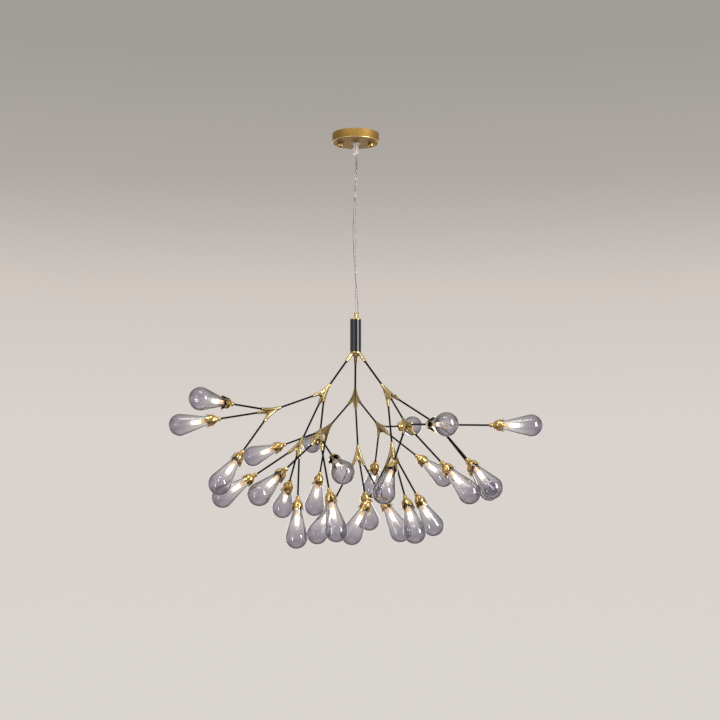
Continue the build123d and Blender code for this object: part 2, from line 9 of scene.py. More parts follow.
import bpy
import numpy as np
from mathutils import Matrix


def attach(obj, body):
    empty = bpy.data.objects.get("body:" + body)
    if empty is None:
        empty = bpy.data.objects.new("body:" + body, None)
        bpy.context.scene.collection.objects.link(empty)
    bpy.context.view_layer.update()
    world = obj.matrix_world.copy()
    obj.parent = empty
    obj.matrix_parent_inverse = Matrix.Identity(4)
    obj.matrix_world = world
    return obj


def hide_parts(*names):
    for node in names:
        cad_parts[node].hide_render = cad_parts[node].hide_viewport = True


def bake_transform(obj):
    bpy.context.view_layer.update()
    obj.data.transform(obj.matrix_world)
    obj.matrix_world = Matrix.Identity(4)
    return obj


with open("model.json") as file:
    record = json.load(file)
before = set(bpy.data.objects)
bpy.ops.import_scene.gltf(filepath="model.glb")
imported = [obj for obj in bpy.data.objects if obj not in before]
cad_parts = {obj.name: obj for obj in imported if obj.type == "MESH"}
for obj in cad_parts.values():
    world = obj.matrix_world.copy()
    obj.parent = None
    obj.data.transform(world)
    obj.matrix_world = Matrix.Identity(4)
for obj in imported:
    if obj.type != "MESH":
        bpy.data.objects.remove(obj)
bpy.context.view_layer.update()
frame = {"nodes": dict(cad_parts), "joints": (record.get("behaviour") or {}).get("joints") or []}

# A branching chandelier: a brass canopy, a cable and a clear cord carry a black hub. Three limbs
# fork into nine branches, and each branch carries a spray of three lamps in petal cups and glass.
# Sizes are in millimetres and become metres where a mesh is made. +Z is up, and the front is -Y.

Array = np.ndarray
Node = bpy.types.Node
Tree = bpy.types.NodeTree
Object = bpy.types.Object
Span = tuple[float, float]
Point = tuple[float, float, float]
Row = tuple[float, ...]
Stops = Sequence[tuple[float, str]]
LOG = logging.getLogger("chandelier")
METRE = 1000.0
TINY = 1e-6
UP = np.array([0.0, 0.0, 1.0])


# Colour and node helpers


def linear(code: str) -> tuple[float, float, float, float]:
    """Turn an sRGB hex colour into linear light.

    Args:
        code: A hash and six hex digits.

    Returns:
        Linear red, green, blue and an alpha of 1.
    """
    srgb = [int(code[i : i + 2], 16) / 255 for i in (1, 3, 5)]
    light = [c / 12.92 if c <= 0.04045 else ((c + 0.055) / 1.055) ** 2.4 for c in srgb]
    return (*light, 1.0)


def limits(side: str, span: Span) -> dict[str, float]:
    """Name the two ends of a range as the sockets of a range node are named."""
    return {side + " Min": span[0], side + " Max": span[1]}


def wire(node: Node, inputs: dict) -> None:
    """Fill a node's input sockets.

    Args:
        node: The node.
        inputs: Socket name or number to a value, to an output socket, or to a node, whose first
            output in use then feeds it.
    """
    for name, value in inputs.items():
        if isinstance(value, Node):
            value = next(socket for socket in value.outputs if socket.enabled)
        if isinstance(value, bpy.types.NodeSocket):
            node.id_data.links.new(value, node.inputs[name])
        else:
            node.inputs[name].default_value = value


def add_node(
    tree: Tree, kind: str, inputs: dict | None = None, stops: Stops = (), **settings: object
) -> Node:
    """Add a shader node with its settings, its socket values and its links.

    Args:
        tree: The node tree that gets the node.
        kind: The node's type, without the word that all shader nodes start with.
        inputs: What fills its sockets, as wire takes it.
        stops: A colour ramp's positions and colours, in rising order.
        settings: The node's own properties.

    Returns:
        The new node.
    """
    made = tree.nodes.new("ShaderNode" + kind)
    for name, value in settings.items():
        setattr(made, name, value)
    for k, (position, colour) in enumerate([*stops[:1], *stops[-1:], *stops[1:-1]]):
        elements = made.color_ramp.elements
        stop = elements[k] if k < 2 else elements.new(position)
        stop.position = position
        stop.color = linear(colour)
    wire(made, inputs or {})
    return made


# Finishes


class Coordinates(Enum):
    """Where a pattern lies, in the object's frame or along the piece: a node, its output, settings."""

    OBJECT = ("TexCoord", "Object", {})
    ALONG = ("Attribute", "Fac", {"attribute_name": "along"})

    def socket(self, tree: Tree) -> bpy.types.NodeSocket:
        """Add the node that gives these coordinates, and give its output."""
        kind, output, settings = self.value
        return add_node(tree, kind, **settings).outputs[output]


@dataclass(frozen=True)
class Finish:
    """What every finish has: the name of its material and the colour that it is written in."""

    name: str
    colour: str

    def material(self) -> bpy.types.Material:
        """Give the finish's material.

        Returns:
            The material, made on first use.
        """
        made = bpy.data.materials.get(self.name)
        if not made:
            made = bpy.data.materials.new(self.name)
            made.use_nodes = True
            made.diffuse_color = linear(self.colour)
            shader = made.node_tree.nodes["Principled BSDF"]
            wire(shader, {"Base Color": linear(self.colour)})
            self.paint(made.node_tree, shader)
        return made

    def paint(self, tree: Tree, shader: Node) -> None:
        """Set the sockets of a material's shader and add the finish's pattern to its tree."""

    def mottled(self, tree: Tree, size_mm: float, other: str, span: Span, most: float) -> tuple[Node, Node]:
        """Mix the finish's colour with another in soft patches.

        Args:
            tree: The material's node tree.
            size_mm: The size of the patches.
            other: The patches' colour.
            span: The noise at which a patch starts and is full.
            most: The other colour's share in a full patch.

        Returns:
            The noise and the mixed colour.
        """
        place = Coordinates.OBJECT.socket(tree)
        noise = add_node(tree, "TexNoise", {"Vector": place, "Scale": METRE / size_mm, "Detail": 2.0})
        share = add_node(tree, "MapRange", {"Value": noise, **limits("From", span), "To Max": most})
        tones = {"Factor": share, "A": linear(self.colour), "B": linear(other)}
        return noise, add_node(tree, "Mix", tones, data_type="RGBA")


@dataclass(frozen=True)
class Metal(Finish):
    """Satin metal: a fine grain, darker in patches, and paler and smoother on worn edges.

    A piece can also take a painted highlight: a band about a share of its length, by half a width,
    gets the pale edge colour and a smoother gloss. A real grain is about a tenth of a millimetre,
    too fine to show, so it is drawn coarser.
    """

    shade: str = "#8A6428"
    edge: str = "#F2D79A"
    roughness: float = 0.28
    grain_mm: float = 0.9
    grain_depth_mm: float = 0.02
    patch_mm: float = 14.0
    stretch: Point = (1.0, 1.0, 1.0)
    worn: float = 0.35
    # A painted highlight along the piece: the middle and half width of its band, as shares of the length
    painted_highlight_span: Span = (-1.0, 0.0)
    patches: Span = (0.35, 0.75)
    patch_share: float = 0.45
    sharp: Span = (0.52, 0.62)
    uneven: Span = (0.8, 1.25)
    polish: float = 0.6
    relief: float = 0.5

    def paint(self, tree: Tree, shader: Node) -> None:
        """Mix two tones in soft patches, brush the grain, lighten and smooth the worn edges and any painted
        highlight band.

        Args:
            tree: The material's node tree.
            shader: Its shader.
        """
        tone = self.mottled(tree, self.patch_mm, self.shade, self.patches, self.patch_share)[1]
        place = Coordinates.OBJECT.socket(tree)
        brushed = add_node(tree, "Mapping", {"Vector": place, "Scale": self.stretch})
        fine = METRE / self.grain_mm
        grain = add_node(tree, "TexNoise", {"Vector": brushed, "Scale": fine, "Detail": 3.0})
        point = add_node(tree, "NewGeometry").outputs["Pointiness"]
        edges = {"Value": point, **limits("From", self.sharp), "To Max": self.worn}
        wear_and_highlight = add_node(tree, "MapRange", edges)
        # Painted highlight: the band of the piece's length that takes the edge colour and a smoother gloss,
        # as if light caught it there
        middle, half = self.painted_highlight_span
        along = Coordinates.ALONG.socket(tree)
        highlight_band_mask = add_node(tree, "Math", {0: along, 1: middle, 2: half}, operation="COMPARE")
        wear_and_highlight = add_node(tree, "Math", {0: wear_and_highlight, 1: highlight_band_mask}, operation="MAXIMUM")
        # The pale edge colour goes on the worn edges and on the painted highlight band
        tones = {"Factor": wear_and_highlight, "A": tone, "B": linear(self.edge)}
        worn = add_node(tree, "Mix", tones, data_type="RGBA")
        gloss = tuple(self.roughness * share for share in self.uneven)
        rough = add_node(tree, "MapRange", {"Value": grain, **limits("To", gloss)})
        smooth = add_node(tree, "MapRange", {"Value": wear_and_highlight, **limits("To", (1.0, self.polish))})
        rough = add_node(tree, "Math", {0: rough, 1: smooth}, operation="MULTIPLY")
        depth = self.grain_depth_mm / METRE
        bump = add_node(tree, "Bump", {"Height": grain, "Distance": depth, "Strength": self.relief})
        wire(shader, {"Base Color": worn, "Roughness": rough, "Normal": bump, "Metallic": 1.0})


@dataclass(frozen=True)
class Coating(Finish):
    """Paint or moulded plastic: an even colour with a fine peel, glossy or satin."""

    roughness: float = 0.35
    peel_mm: float = 1.5
    peel_depth_mm: float = 0.03
    fade: str = "#2A2724"
    coat: float = 0.0
    coat_roughness: float = 0.05
    shine: float = 0.5
    patches: Span = (0.4, 0.8)
    patch_share: float = 0.35
    uneven: Span = (0.85, 1.2)
    relief: float = 0.4

    def paint(self, tree: Tree, shader: Node) -> None:
        """Vary the colour and roughness a little with the peel, and bump it.

        Args:
            tree: The material's node tree.
            shader: Its shader.
        """
        peel, tone = self.mottled(tree, self.peel_mm, self.fade, self.patches, self.patch_share)
        gloss = tuple(self.roughness * share for share in self.uneven)
        rough = add_node(tree, "MapRange", {"Value": peel, **limits("To", gloss)})
        depth = self.peel_depth_mm / METRE
        bump = add_node(tree, "Bump", {"Height": peel, "Distance": depth, "Strength": self.relief})
        wire(shader, {"Base Color": tone, "Roughness": rough, "Normal": bump})
        wire(shader, {"Coat Weight": self.coat, "Coat Roughness": self.coat_roughness})
        wire(shader, {"Specular IOR Level": self.shine})


@dataclass(frozen=True)
class Clear(Finish):
    """Glass or clear plastic: light goes through it, and what isn't clear in it is milky."""

    ior: float = 1.5
    roughness: float = 0.0
    wave_mm: float = 18.0
    wave_depth_mm: float = 0.25
    through: str = "#FFFFFF"
    smoke: str = "#FFFFFF"
    smoke_per_mm: float = 0.0
    clearness: float = 1.0
    # The far end's tint: the glass stays paler near its neck, a painted glow of the lamp inside, and takes
    # this colour towards its round end
    end: str = ""
    rim: str = ""
    far: Span = (0.3, 0.95)
    slanted: Span = (0.25, 0.95)
    relief: float = 0.3

    def paint(self, tree: Tree, shader: Node) -> None:
        """Ripple the skin slowly, darken it with its thickness and let the lamps' light pass.

        Args:
            tree: The material's node tree.
            shader: Its shader.
        """
        place = Coordinates.OBJECT.socket(tree)
        slow = METRE / self.wave_mm
        wave = add_node(tree, "TexNoise", {"Vector": place, "Scale": slow, "Detail": 1.0})
        depth = self.wave_depth_mm / METRE
        bump = add_node(tree, "Bump", {"Height": wave, "Distance": depth, "Strength": self.relief})
        wire(shader, {"Normal": bump, "IOR": self.ior, "Roughness": self.roughness})
        wire(shader, {"Transmission Weight": self.clearness})
        # Painted light: the tint leaves the glass paler near its neck, as if lit by the lamp inside, and
        # darker towards its round end
        if self.end:
            wire(shader, {"Base Color": self.glow_and_rim_tint(tree)})
        shadow = add_node(tree, "LightPath").outputs["Is Shadow Ray"]
        passing = add_node(tree, "BsdfTransparent", {"Color": linear(self.through)})
        output = tree.nodes["Material Output"]
        wire(output, {"Surface": add_node(tree, "MixShader", {0: shadow, 1: shader, 2: passing})})
        if self.smoke_per_mm:
            smoke = {"Color": linear(self.smoke), "Density": self.smoke_per_mm * METRE}
            wire(output, {"Volume": add_node(tree, "VolumeAbsorption", smoke)})

    def glow_and_rim_tint(self, tree: Tree) -> Node:
        """Tint the glass towards its far end, which leaves it paler near its neck as painted light from
        the lamp there, and most where its wall is seen at a slant.

        Args:
            tree: The material's node tree.

        Returns:
            The tint.
        """
        soft = {"interpolation_type": "SMOOTHSTEP"}
        along = Coordinates.ALONG.socket(tree)
        far = add_node(tree, "MapRange", {"Value": along, **limits("From", self.far)}, **soft)
        tints = {"Factor": far, "A": linear(self.colour), "B": linear(self.end)}
        tint = add_node(tree, "Mix", tints, data_type="RGBA")
        facing = add_node(tree, "LayerWeight", {"Blend": 0.5}).outputs["Facing"]
        thick = add_node(tree, "MapRange", {"Value": facing, **limits("From", self.slanted)}, **soft)
        tints = {"Factor": thick, "A": tint, "B": linear(self.rim)}
        return add_node(tree, "Mix", tints, data_type="RGBA")


@dataclass(frozen=True)
class Glow(Finish):
    """Lit silicone or the ceramic under it: a glow that changes from the foot to the tip."""

    foot: str = "#FF9E55"
    tip: str = "#B0A498"
    strength: float = 1.5
    hottest: Span = (0.12, 0.5)
    cooled: float = 1.0
    roughness: float = 0.4

    def paint(self, tree: Tree, shader: Node) -> None:
        """Carry the glow from the foot's colour to the hottest stretch, and on to the tip's.

        Args:
            tree: The material's node tree.
            shader: Its shader.
        """
        hot = [(share, self.colour) for share in self.hottest]
        stops = [(0.0, self.foot), *hot, (self.cooled, self.tip)]
        ramp = add_node(tree, "ValToRGB", {"Fac": Coordinates.ALONG.socket(tree)}, stops)
        wire(shader, {"Emission Color": ramp, "Base Color": ramp})
        wire(shader, {"Emission Strength": self.strength, "Roughness": self.roughness})


# Spun and lacquered brass of the canopy: faint rings from the lathe, and a painted highlight along its
# rounded lower edge
CANOPY_BRASS = Metal(
    "spun brass", "#967433", shade="#765828", edge="#E2CD98", roughness=0.6,
    stretch=(0.12, 0.12, 1.0), painted_highlight_span=(0.06, 0.05),
)
# Turned brass of the nuts, cap and gripper: brighter, with a fine tool mark
TURNED_BRASS = Metal("turned brass", "#C9AB6B", roughness=0.24, stretch=(0.2, 0.2, 1.0))
# Cast brass of the junctions: satin, with a soft sand-cast grain, drawn coarser than it is to show
CAST_BRASS = Metal(
    "cast brass", "#B8A474", shade="#84704C", roughness=0.26, grain_mm=2.5, grain_depth_mm=0.001, worn=0.0
)
# Pressed and polished brass of the petals: smooth, so that it mirrors its neighbours
PETAL_BRASS = Metal("pressed brass", "#D6B677", roughness=0.17, patch_mm=9.0, grain_depth_mm=0.006)
# Gloss black enamel on the hub: a wet coat over black, with its peel drawn coarser than it is, as
# slow waves, because a finer one wouldn't show
HUB_ENAMEL = Coating(
    "black enamel", "#07080F", roughness=0.3, peel_mm=9.0, peel_depth_mm=0.0005, fade="#10101C",
    coat=0.9, shine=0.1,
)
# Satin black paint on the rods: sprayed and baked
ROD_PAINT = Coating("satin black paint", "#050404", roughness=0.4, peel_mm=1.0, fade="#0E0C0B", shine=0.07)
# Black phenolic of the lamp holders: moulded, slightly dull
HOLDER_PLASTIC = Coating(
    "black phenolic", "#0B0A0A", roughness=0.4, peel_mm=0.8, fade="#161413", shine=0.25
)
# Smoke-grey blown glass: thin, with slow ripples and smokier at its rim; its tint is paler near the neck, a
# painted glow of the lamp inside, and darker towards its round end
SMOKE_GLASS = Clear(
    "smoke glass", "#FDFDFF", ior=1.6, through="#D9D7DC", smoke="#8E8C98", smoke_per_mm=0.08,
    end="#D3D0D9", rim="#5E5B66",
)
# Clear PVC of the cord: soft and slightly milky
CORD_PVC = Clear(
    "clear pvc", "#F1ECE9", roughness=0.16, wave_depth_mm=0.04, through="#D8D2CC", clearness=0.93
)
# Natural nylon of the cord grip and the clips: milky, so that it catches the light
GRIP_NYLON = Clear(
    "natural nylon", "#EDEAE4", roughness=0.2, wave_mm=5.0, through="#C8C6C0", clearness=0.75
)
# Soft clear vinyl of the grip's sleeve: cloudier than the cord
SLEEVE_VINYL = Clear(
    "sleeve vinyl", "#E9DED9", roughness=0.25, wave_depth_mm=0.05, through="#D2CCC6", clearness=0.65
)
# Tinned copper strands inside the cord: a dull warm grey
TINNED_COPPER = Metal("tinned copper", "#6C5C5A", shade="#4A3D3C", edge="#9C908C", roughness=0.4)
# Stranded stainless steel of the cable: grey, bright on the strands' crowns
CABLE_STEEL = Metal("stainless strand", "#8B8985", shade="#565452", edge="#D3D3D1", roughness=0.35)
# Zinc-plated steel of the bracket and studs: pale and cool
ZINC_STEEL = Metal("zinc plate", "#B4B6BA", shade="#8C9096", edge="#DADCE0", roughness=0.34)
# White nylon of the terminal block: moulded, dull
TERMINAL_NYLON = Coating("white nylon", "#E4E2DC", roughness=0.5, fade="#CFCBC2")
# Pale moulded case of the LED driver: dull
DRIVER_CASE = Coating("moulded case", "#DCDAD4", roughness=0.5, fade="#C4C0B8")
# Ridged ceramic foot of the LED capsule, lit amber from above
LAMP_FOOT = Glow("lit ceramic", "#EBC49C", foot="#B58B68", tip="#FFE6BE", strength=0.55, hottest=(0.3, 0.6))
# Silicone capsule with its LEDs lit: hottest near its foot
LIT_SILICONE = Glow(
    "lit silicone", "#FFF3DC", foot="#FFD08A", tip="#98928B", hottest=(0.1, 0.48), cooled=0.8
)


# Surfaces


@dataclass
class Surface:
    """A closed surface: points in millimetres, faces, and how far along its length each point is.

    A face has four corners. A triangle names its last corner twice. Edges sharper than CREASE
    are shaded sharp.
    """

    points: Array
    faces: Array
    along: Array
    CREASE: ClassVar[float] = math.radians(38)

    def moved(self, places: list[Array]) -> "Surface":
        """Copy the surface to each place.

        Args:
            places: 4 by 4 matrices, in millimetres.

        Returns:
            One surface with every copy in it.
        """
        stack = np.stack(places)
        points = np.einsum("kij,nj->kni", stack[:, :3, :3], self.points) + stack[:, None, :3, 3]
        steps = np.arange(len(places))[:, None, None] * len(self.points)
        faces = (self.faces[None] + steps).reshape(-1, 4)
        return Surface(points.reshape(-1, 3), faces, np.tile(self.along, len(places)))

    def piece(self, name: str, finish: Finish) -> Object:
        """Make the surface an object at the origin, in metres.

        Args:
            name: The piece's name.
            finish: The finish that it takes.

        Returns:
            The new object.
        """
        three = self.faces[:, 2] == self.faces[:, 3]
        quads, triangles = self.faces[~three], self.faces[three][:, :3]
        corners = np.concatenate([quads.ravel(), triangles.ravel()])
        ends = len(quads) * 4 + np.arange(len(triangles)) * 3
        starts = np.concatenate([np.arange(len(quads)) * 4, ends])
        mesh = bpy.data.meshes.new(name)
        mesh.vertices.add(len(self.points))
        mesh.vertices.foreach_set("co", (self.points / METRE).astype(np.float32).ravel())
        mesh.loops.add(len(corners))
        mesh.loops.foreach_set("vertex_index", corners.astype(np.int32))
        mesh.polygons.add(len(starts))
        mesh.polygons.foreach_set("loop_start", starts.astype(np.int32))
        mesh.update(calc_edges=True)
        mesh.validate()
        mesh.shade_smooth()
        mesh.set_sharp_from_angle(angle=self.CREASE)
        share = mesh.attributes.new("along", "FLOAT", "POINT")
        share.data.foreach_set("value", self.along.astype(np.float32))
        mesh.materials.append(finish.material())
        made = bpy.data.objects.new(name, mesh)
        bpy.context.scene.collection.objects.link(made)
        return made


def joined(parts: list[Surface]) -> Surface:
    """Put several surfaces into one.

    Args:
        parts: The surfaces.

    Returns:
        One surface with all their points and faces.
    """
    steps = np.cumsum([0] + [len(part.points) for part in parts[:-1]])
    faces = np.concatenate([part.faces + step for part, step in zip(parts, steps)])
    points = np.concatenate([part.points for part in parts])
    return Surface(points, faces, np.concatenate([part.along for part in parts]))


def woven(number: Array, loop: bool) -> Array:
    """Give the faces between the rows of a grid whose columns close into rings.

    Args:
        number: Point numbers, rows by columns. A row that is one point repeats its number.
        loop: True if the last row also joins the first.

    Returns:
        Four corners for each face, with a triangle's last corner twice.
    """
    lower = number if loop else number[:-1]
    upper = np.roll(number, -1, 0) if loop else number[1:]
    corners = [lower, np.roll(lower, -1, 1), np.roll(upper, -1, 1), upper]
    faces = np.stack(corners, -1).reshape(-1, 4)
    first = faces[:, 0] == faces[:, 1]
    faces[first] = faces[first][:, [2, 3, 0, 1]]
    return faces


def trimmed(points: Array, faces: Array, along: Array) -> Surface:
    """Make a surface of only the points that its faces use."""
    used, corners = np.unique(faces, return_inverse=True)
    return Surface(points[used], corners.reshape(-1, 4), along[used])


def around(count: int) -> Array:
    """Give a number of angles evenly round a circle."""
    return np.linspace(0, 2 * math.pi, count, endpoint=False)


def lathe(outline: Array, segments: int, loop: bool = False) -> Surface:
    """Turn an outline about Z: x = r cos t, y = r sin t, z = h for each point (r, h).

    Args:
        outline: (radius, height) points, up the outside and down the inside.
        segments: Points round each ring.
        loop: True if the outline closes on itself. Otherwise it starts and ends on the axis.

    Returns:
        A closed surface. A point on the axis is a single pole.
    """
    turn = around(segments)
    radius, height = np.asarray(outline, float).T
    level = np.outer(height, np.ones(segments))
    points = np.stack([np.outer(radius, np.cos(turn)), np.outer(radius, np.sin(turn)), level], -1)
    number = np.arange(radius.size * segments).reshape(radius.size, segments)
    pole = radius < TINY
    number[pole] = number[pole][:, :1]
    share = (height - height.min()) / max(np.ptp(height), TINY)
    return trimmed(points.reshape(-1, 3), woven(number, loop), np.repeat(share, segments))


def swept(path: Array, radius: Array | float, sides: int) -> Surface:
    """Carry a round section along a path: p + r (n cos t + b sin t), closed at both ends.

    n lies square to the path towards +X, and b is square to both.

    Args:
        path: Points along the middle line.
        radius: The section's radius, or one for each path point and each side.
        sides: Points round the section.

    Returns:
        A closed tube.
    """
    turn = around(sides)[:, None]
    ahead = np.gradient(path, axis=0)
    ahead /= np.linalg.norm(ahead, axis=1, keepdims=True)
    right = np.array([1.0, 0.0, 0.0]) - ahead * ahead[:, :1]
    right /= np.linalg.norm(right, axis=1, keepdims=True)
    across = np.cross(ahead, right)
    ring = right[:, None] * np.cos(turn) + across[:, None] * np.sin(turn)
    body = path[:, None] + ring * np.asarray(radius)[..., None]
    ends = [np.broadcast_to(path[i], body[:1].shape) for i in (0, -1)]
    grid = np.concatenate([ends[0], body, ends[1]])
    number = np.arange(grid.shape[0] * sides).reshape(-1, sides)
    number[[0, -1]] = number[[0, -1], :1]
    share = np.repeat(np.linspace(0, 1, grid.shape[0]), sides)
    return trimmed(grid.reshape(-1, 3), woven(number, False), share)


def flowing(points: list[Span], steps: int) -> Array:
    """Draw a smooth outline through points, a Catmull-Rom curve with its ends held.

    Args:
        points: The points that the outline needs.
        steps: Stretches between two neighbouring points.

    Returns:
        Points along the curve.
    """
    held = np.asarray(points, float)
    held = np.concatenate([2 * held[:1] - held[1:2], held, 2 * held[-1:] - held[-2:-1]])
    before, start, end, after = (held[i : len(held) - 3 + i, None] for i in range(4))
    t = np.linspace(0, 1, steps, endpoint=False)[None, :, None]
    curve = 2 * start + (end - before) * t + (2 * before - 5 * start + 4 * end - after) * t**2
    curve = (curve + (3 * start - before - 3 * end + after) * t**3) / 2
    return np.concatenate([curve.reshape(-1, 2), held[-2:-1]])


def arc(centre: Span, radius: float, start: float, end: float, count: int) -> Array:
    """Give points on an arc, centre + radius (cos a, sin a), between two angles in degrees."""
    angle = np.radians(np.linspace(start, end, count))
    return np.asarray(centre) + radius * np.stack([np.cos(angle), np.sin(angle)], -1)


def pin_line(radius: float, low: float, high: float, ease: float = 0.4, rings: int = 2) -> Array:
    """Give a pin's outline: both ends eased, and rings evenly along its side."""
    side = np.linspace((radius, low + ease), (radius, high - ease), rings)
    return np.concatenate([[(0, low), (radius - ease, low)], side, [(radius - ease, high), (0, high)]])


def groove(radius: float, low: float, depth: float, slope: float, reach: float = 1.0) -> list[Span]:
    """Give a groove's corners: a slope in, a floor that ends a reach above its start, a slope out."""
    top, floor = low + reach, radius - depth
    return [(radius, low), (floor, low + slope), (floor, top), (radius, top + slope)]


def aimed(point: Array | Point, axis: Array = UP, turn: float = 0.0) -> Array:
    """Give the place with its Z along an axis and its X leaning up, then turned on the axis.

    Args:
        point: Where it stands, in millimetres.
        axis: A unit direction.
        turn: Degrees about the axis.

    Returns:
        A 4 by 4 matrix. Along +Z itself, it is upright.
    """
    place = np.eye(4)
    place[:3, 3] = point
    lean = UP - axis * axis[2]
    if lean.any():
        lean = lean / np.linalg.norm(lean)
        angle = math.radians(turn)
        first = lean * math.cos(angle) + np.cross(axis, lean) * math.sin(angle)
        place[:3, :3] = np.stack([first, np.cross(axis, first), axis], -1)
    return place


# Castings, as smooth blends of simple solids


def soft_union(first: Array, second: Array, blend: float) -> Array:
    """Join two distance fields with a fillet: the lesser, less blend h (1 - h) where they meet."""
    h = np.clip(0.5 + 0.5 * (second - first) / blend, 0, 1)
    return second + (first - second) * h - blend * h * (1 - h)


def cone_field(p: Array, axis: Array, reach: Span, radii: Span, ease: float = 0.9) -> Array:
    """Give the distance to a straight taper along an axis.

    Args:
        p: Points.
        axis: The taper's unit direction.
        reach: Where it starts and ends along the axis.
        radii: Its radius at either end.
        ease: How far its end edges are rounded.

    Returns:
        The distance, negative inside.
    """
    along = p @ axis
    out = np.linalg.norm(p - along[..., None] * axis, axis=-1)
    share = np.clip((along - reach[0]) / (reach[1] - reach[0]), 0, 1)
    side = out - (radii[0] + (radii[1] - radii[0]) * share)
    ends = np.maximum(reach[0] - along, along - reach[1])
    return -soft_union(-side, -ends, ease)


def skinned(field_at: Callable[[Array], Array], low: Array, high: Array, step: float) -> Surface:
    """Wrap a distance field in a surface: one point in each grid cell that the skin passes.

    Each point starts at the mean of the places where the skin crosses its cell's edges, and then
    moves along the field's slope onto the skin. Each crossed grid edge gives a face.

    Args:
        field_at: The distance at an array of points.
        low: The grid's lowest corner.
        high: The grid's highest corner.
        step: The grid's spacing.

    Returns:
        A closed surface.
    """
    axes = [np.arange(a, b + step, step) for a, b in zip(low, high)]
    grid = np.stack(np.meshgrid(*axes, indexing="ij"), -1)
    value = field_at(grid)
    cells = tuple(n - 1 for n in value.shape)
    total = np.zeros((*cells, 3))
    count = np.zeros(cells)
    crossings = []
    for k in range(3):
        near = [slice(None)] * 3
        far = [slice(None)] * 3
        near[k], far[k] = slice(None, -1), slice(1, None)
        here, there = value[tuple(near)], value[tuple(far)]
        crossed = (here < 0) != (there < 0)
        spot = grid[tuple(near)].copy()
        spot[..., k] += np.where(crossed, here / np.where(crossed, here - there, 1), 0) * step
        crossings.append((crossed, here < 0))
        i, j = [m for m in range(3) if m != k]
        for a, b in ((0, 0), (0, 1), (1, 0), (1, 1)):
            part = [slice(None)] * 3
            part[i], part[j] = slice(a, cells[i] + a), slice(b, cells[j] + b)
            total += np.where(crossed[tuple(part)][..., None], spot[tuple(part)], 0)
            count += crossed[tuple(part)]
    held = count > 0
    points = total[held] / count[held][:, None]
    number = np.full(cells, -1)
    number[held] = np.arange(len(points))
    faces = []
    for k, (crossed, inside) in enumerate(crossings):
        i, j = (k + 1) % 3, (k + 2) % 3
        at = np.argwhere(crossed)
        at = at[(at[:, i] > 0) & (at[:, j] > 0) & (at[:, i] < cells[i]) & (at[:, j] < cells[j])]
        corner = []
        for a, b in ((1, 1), (0, 1), (0, 0), (1, 0)):
            cell = at.copy()
            cell[:, i] -= a
            cell[:, j] -= b
            corner.append(number[tuple(cell.T)])
        quad = np.stack(corner, -1)
        faces.append(np.where(inside[tuple(at.T)][:, None], quad, quad[:, ::-1]))
    small, rounds, flattest = step * 0.05, 4, 0.2
    for _ in range(rounds):
        here = field_at(points)
        slope = np.stack([field_at(points + small * np.eye(3)[k]) - here for k in range(3)], -1) / small
        points = points - slope * (here / np.maximum((slope**2).sum(-1), flattest))[:, None]
    return Surface(points, np.concatenate(faces), np.zeros(len(points)))


# The object's layout


@dataclass
class Spray:
    """One spray: its name, how its junction is turned on its branch, and its place in the frame."""

    name: str
    clock: float
    centre: Array = field(init=False)
    axis: Array = field(init=False)
    SPREAD: ClassVar[float] = math.radians(32.5)
    TWIG_REACH: ClassVar[float] = 127.0
    BRANCH_REACH: ClassVar[float] = 150.0

    def __post_init__(self) -> None:
        """Read the spray's turning joint from the frame."""
        joint = next(j for j in frame["joints"] if j["child"] == self.body)
        self.centre = np.array(joint["pos_m"]) * METRE
        self.axis = np.array(joint["axis"]) / np.linalg.norm(joint["axis"])

    @property
    def body(self) -> str:
        """The body that the spray's pieces ride on."""
        return "spray_" + self.name

    @property
    def limb(self) -> str:
        """The limb that the spray's branch grows from."""
        return self.name.split("_")[0]

    def outlets(self) -> list[Array]:
        """Give the directions of the spray's three twigs."""
        place = aimed(self.centre, self.axis, self.clock)[:3, :3]
        return [place @ axis for axis in even_outlets()]

    def lamp_places(self) -> list[Array]:
        """Give the place of each lamp, at the end of its twig, with Z along the lamp."""
        return [aimed(self.centre + axis * self.TWIG_REACH, axis) for axis in self.outlets()]

    def root(self) -> Array:
        """Give the middle of the junction that the branch starts from."""
        return self.centre - self.axis * self.BRANCH_REACH


def even_outlets() -> list[Array]:
    """Give a spray junction's own three outlet directions, evenly round +Z."""
    level = [np.array([math.cos(turn), math.sin(turn), 0.0]) for turn in around(3)]
    return [out * math.sin(Spray.SPREAD) + UP * math.cos(Spray.SPREAD) for out in level]


SPRAYS = [
    Spray("left_outer", 314),
    Spray("left_lower", 315),
    Spray("left_inner", 81),
    Spray("rear_left", 287),
    Spray("rear_lower", 229),
    Spray("rear_right", 231),
    Spray("right_lower", 219),
    Spray("right_inner", 120),
    Spray("right_outer", 359),
]
LIMB_NAMES = ("left", "rear", "right")
APEX = np.array([0.0, 0.0, -557.0])


def limb_axes() -> list[Array]:
    """Give the limbs' directions, from the apex to the main junctions."""
    reaches = [next(s for s in SPRAYS if s.limb == name).root() - APEX for name in LIMB_NAMES]
    return [reach / np.linalg.norm(reach) for reach in reaches]


def register(piece: Object, node: str) -> None:
    """Hide the node that a piece stands for, and report the piece.

    Args:
        piece: The finished piece.
        node: The node that it replaces, whole or in part.
    """
    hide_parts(node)
    LOG.info("%s: %d faces", piece.name, len(piece.data.polygons))


def make(surface: Surface, name: str, finish: Finish, body: str, slot: str, node: str) -> Object:
    """Make a surface a piece that rides on a body.

    Args:
        surface: The piece's shape.
        name: Its name.
        finish: The finish that it takes.
        body: The body that it moves with.
        slot: The record's slot for the piece. It is not used.
        node: The node that it replaces, whole or in part.

    Returns:
        The piece.
    """
    piece = surface.piece(name, finish)
    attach(piece, body)
    register(piece, node)
    return piece


def dress_node(node: str, finish: Finish) -> None:
    """Give a node that stays as it is its finish.

    Args:
        node: The node's name.
        finish: The finish that it takes.
    """
    mesh = frame["nodes"][node].data
    mesh.materials.clear()
    mesh.materials.append(finish.material())
    LOG.info("%s: kept", node)


# The object's sub-assemblies


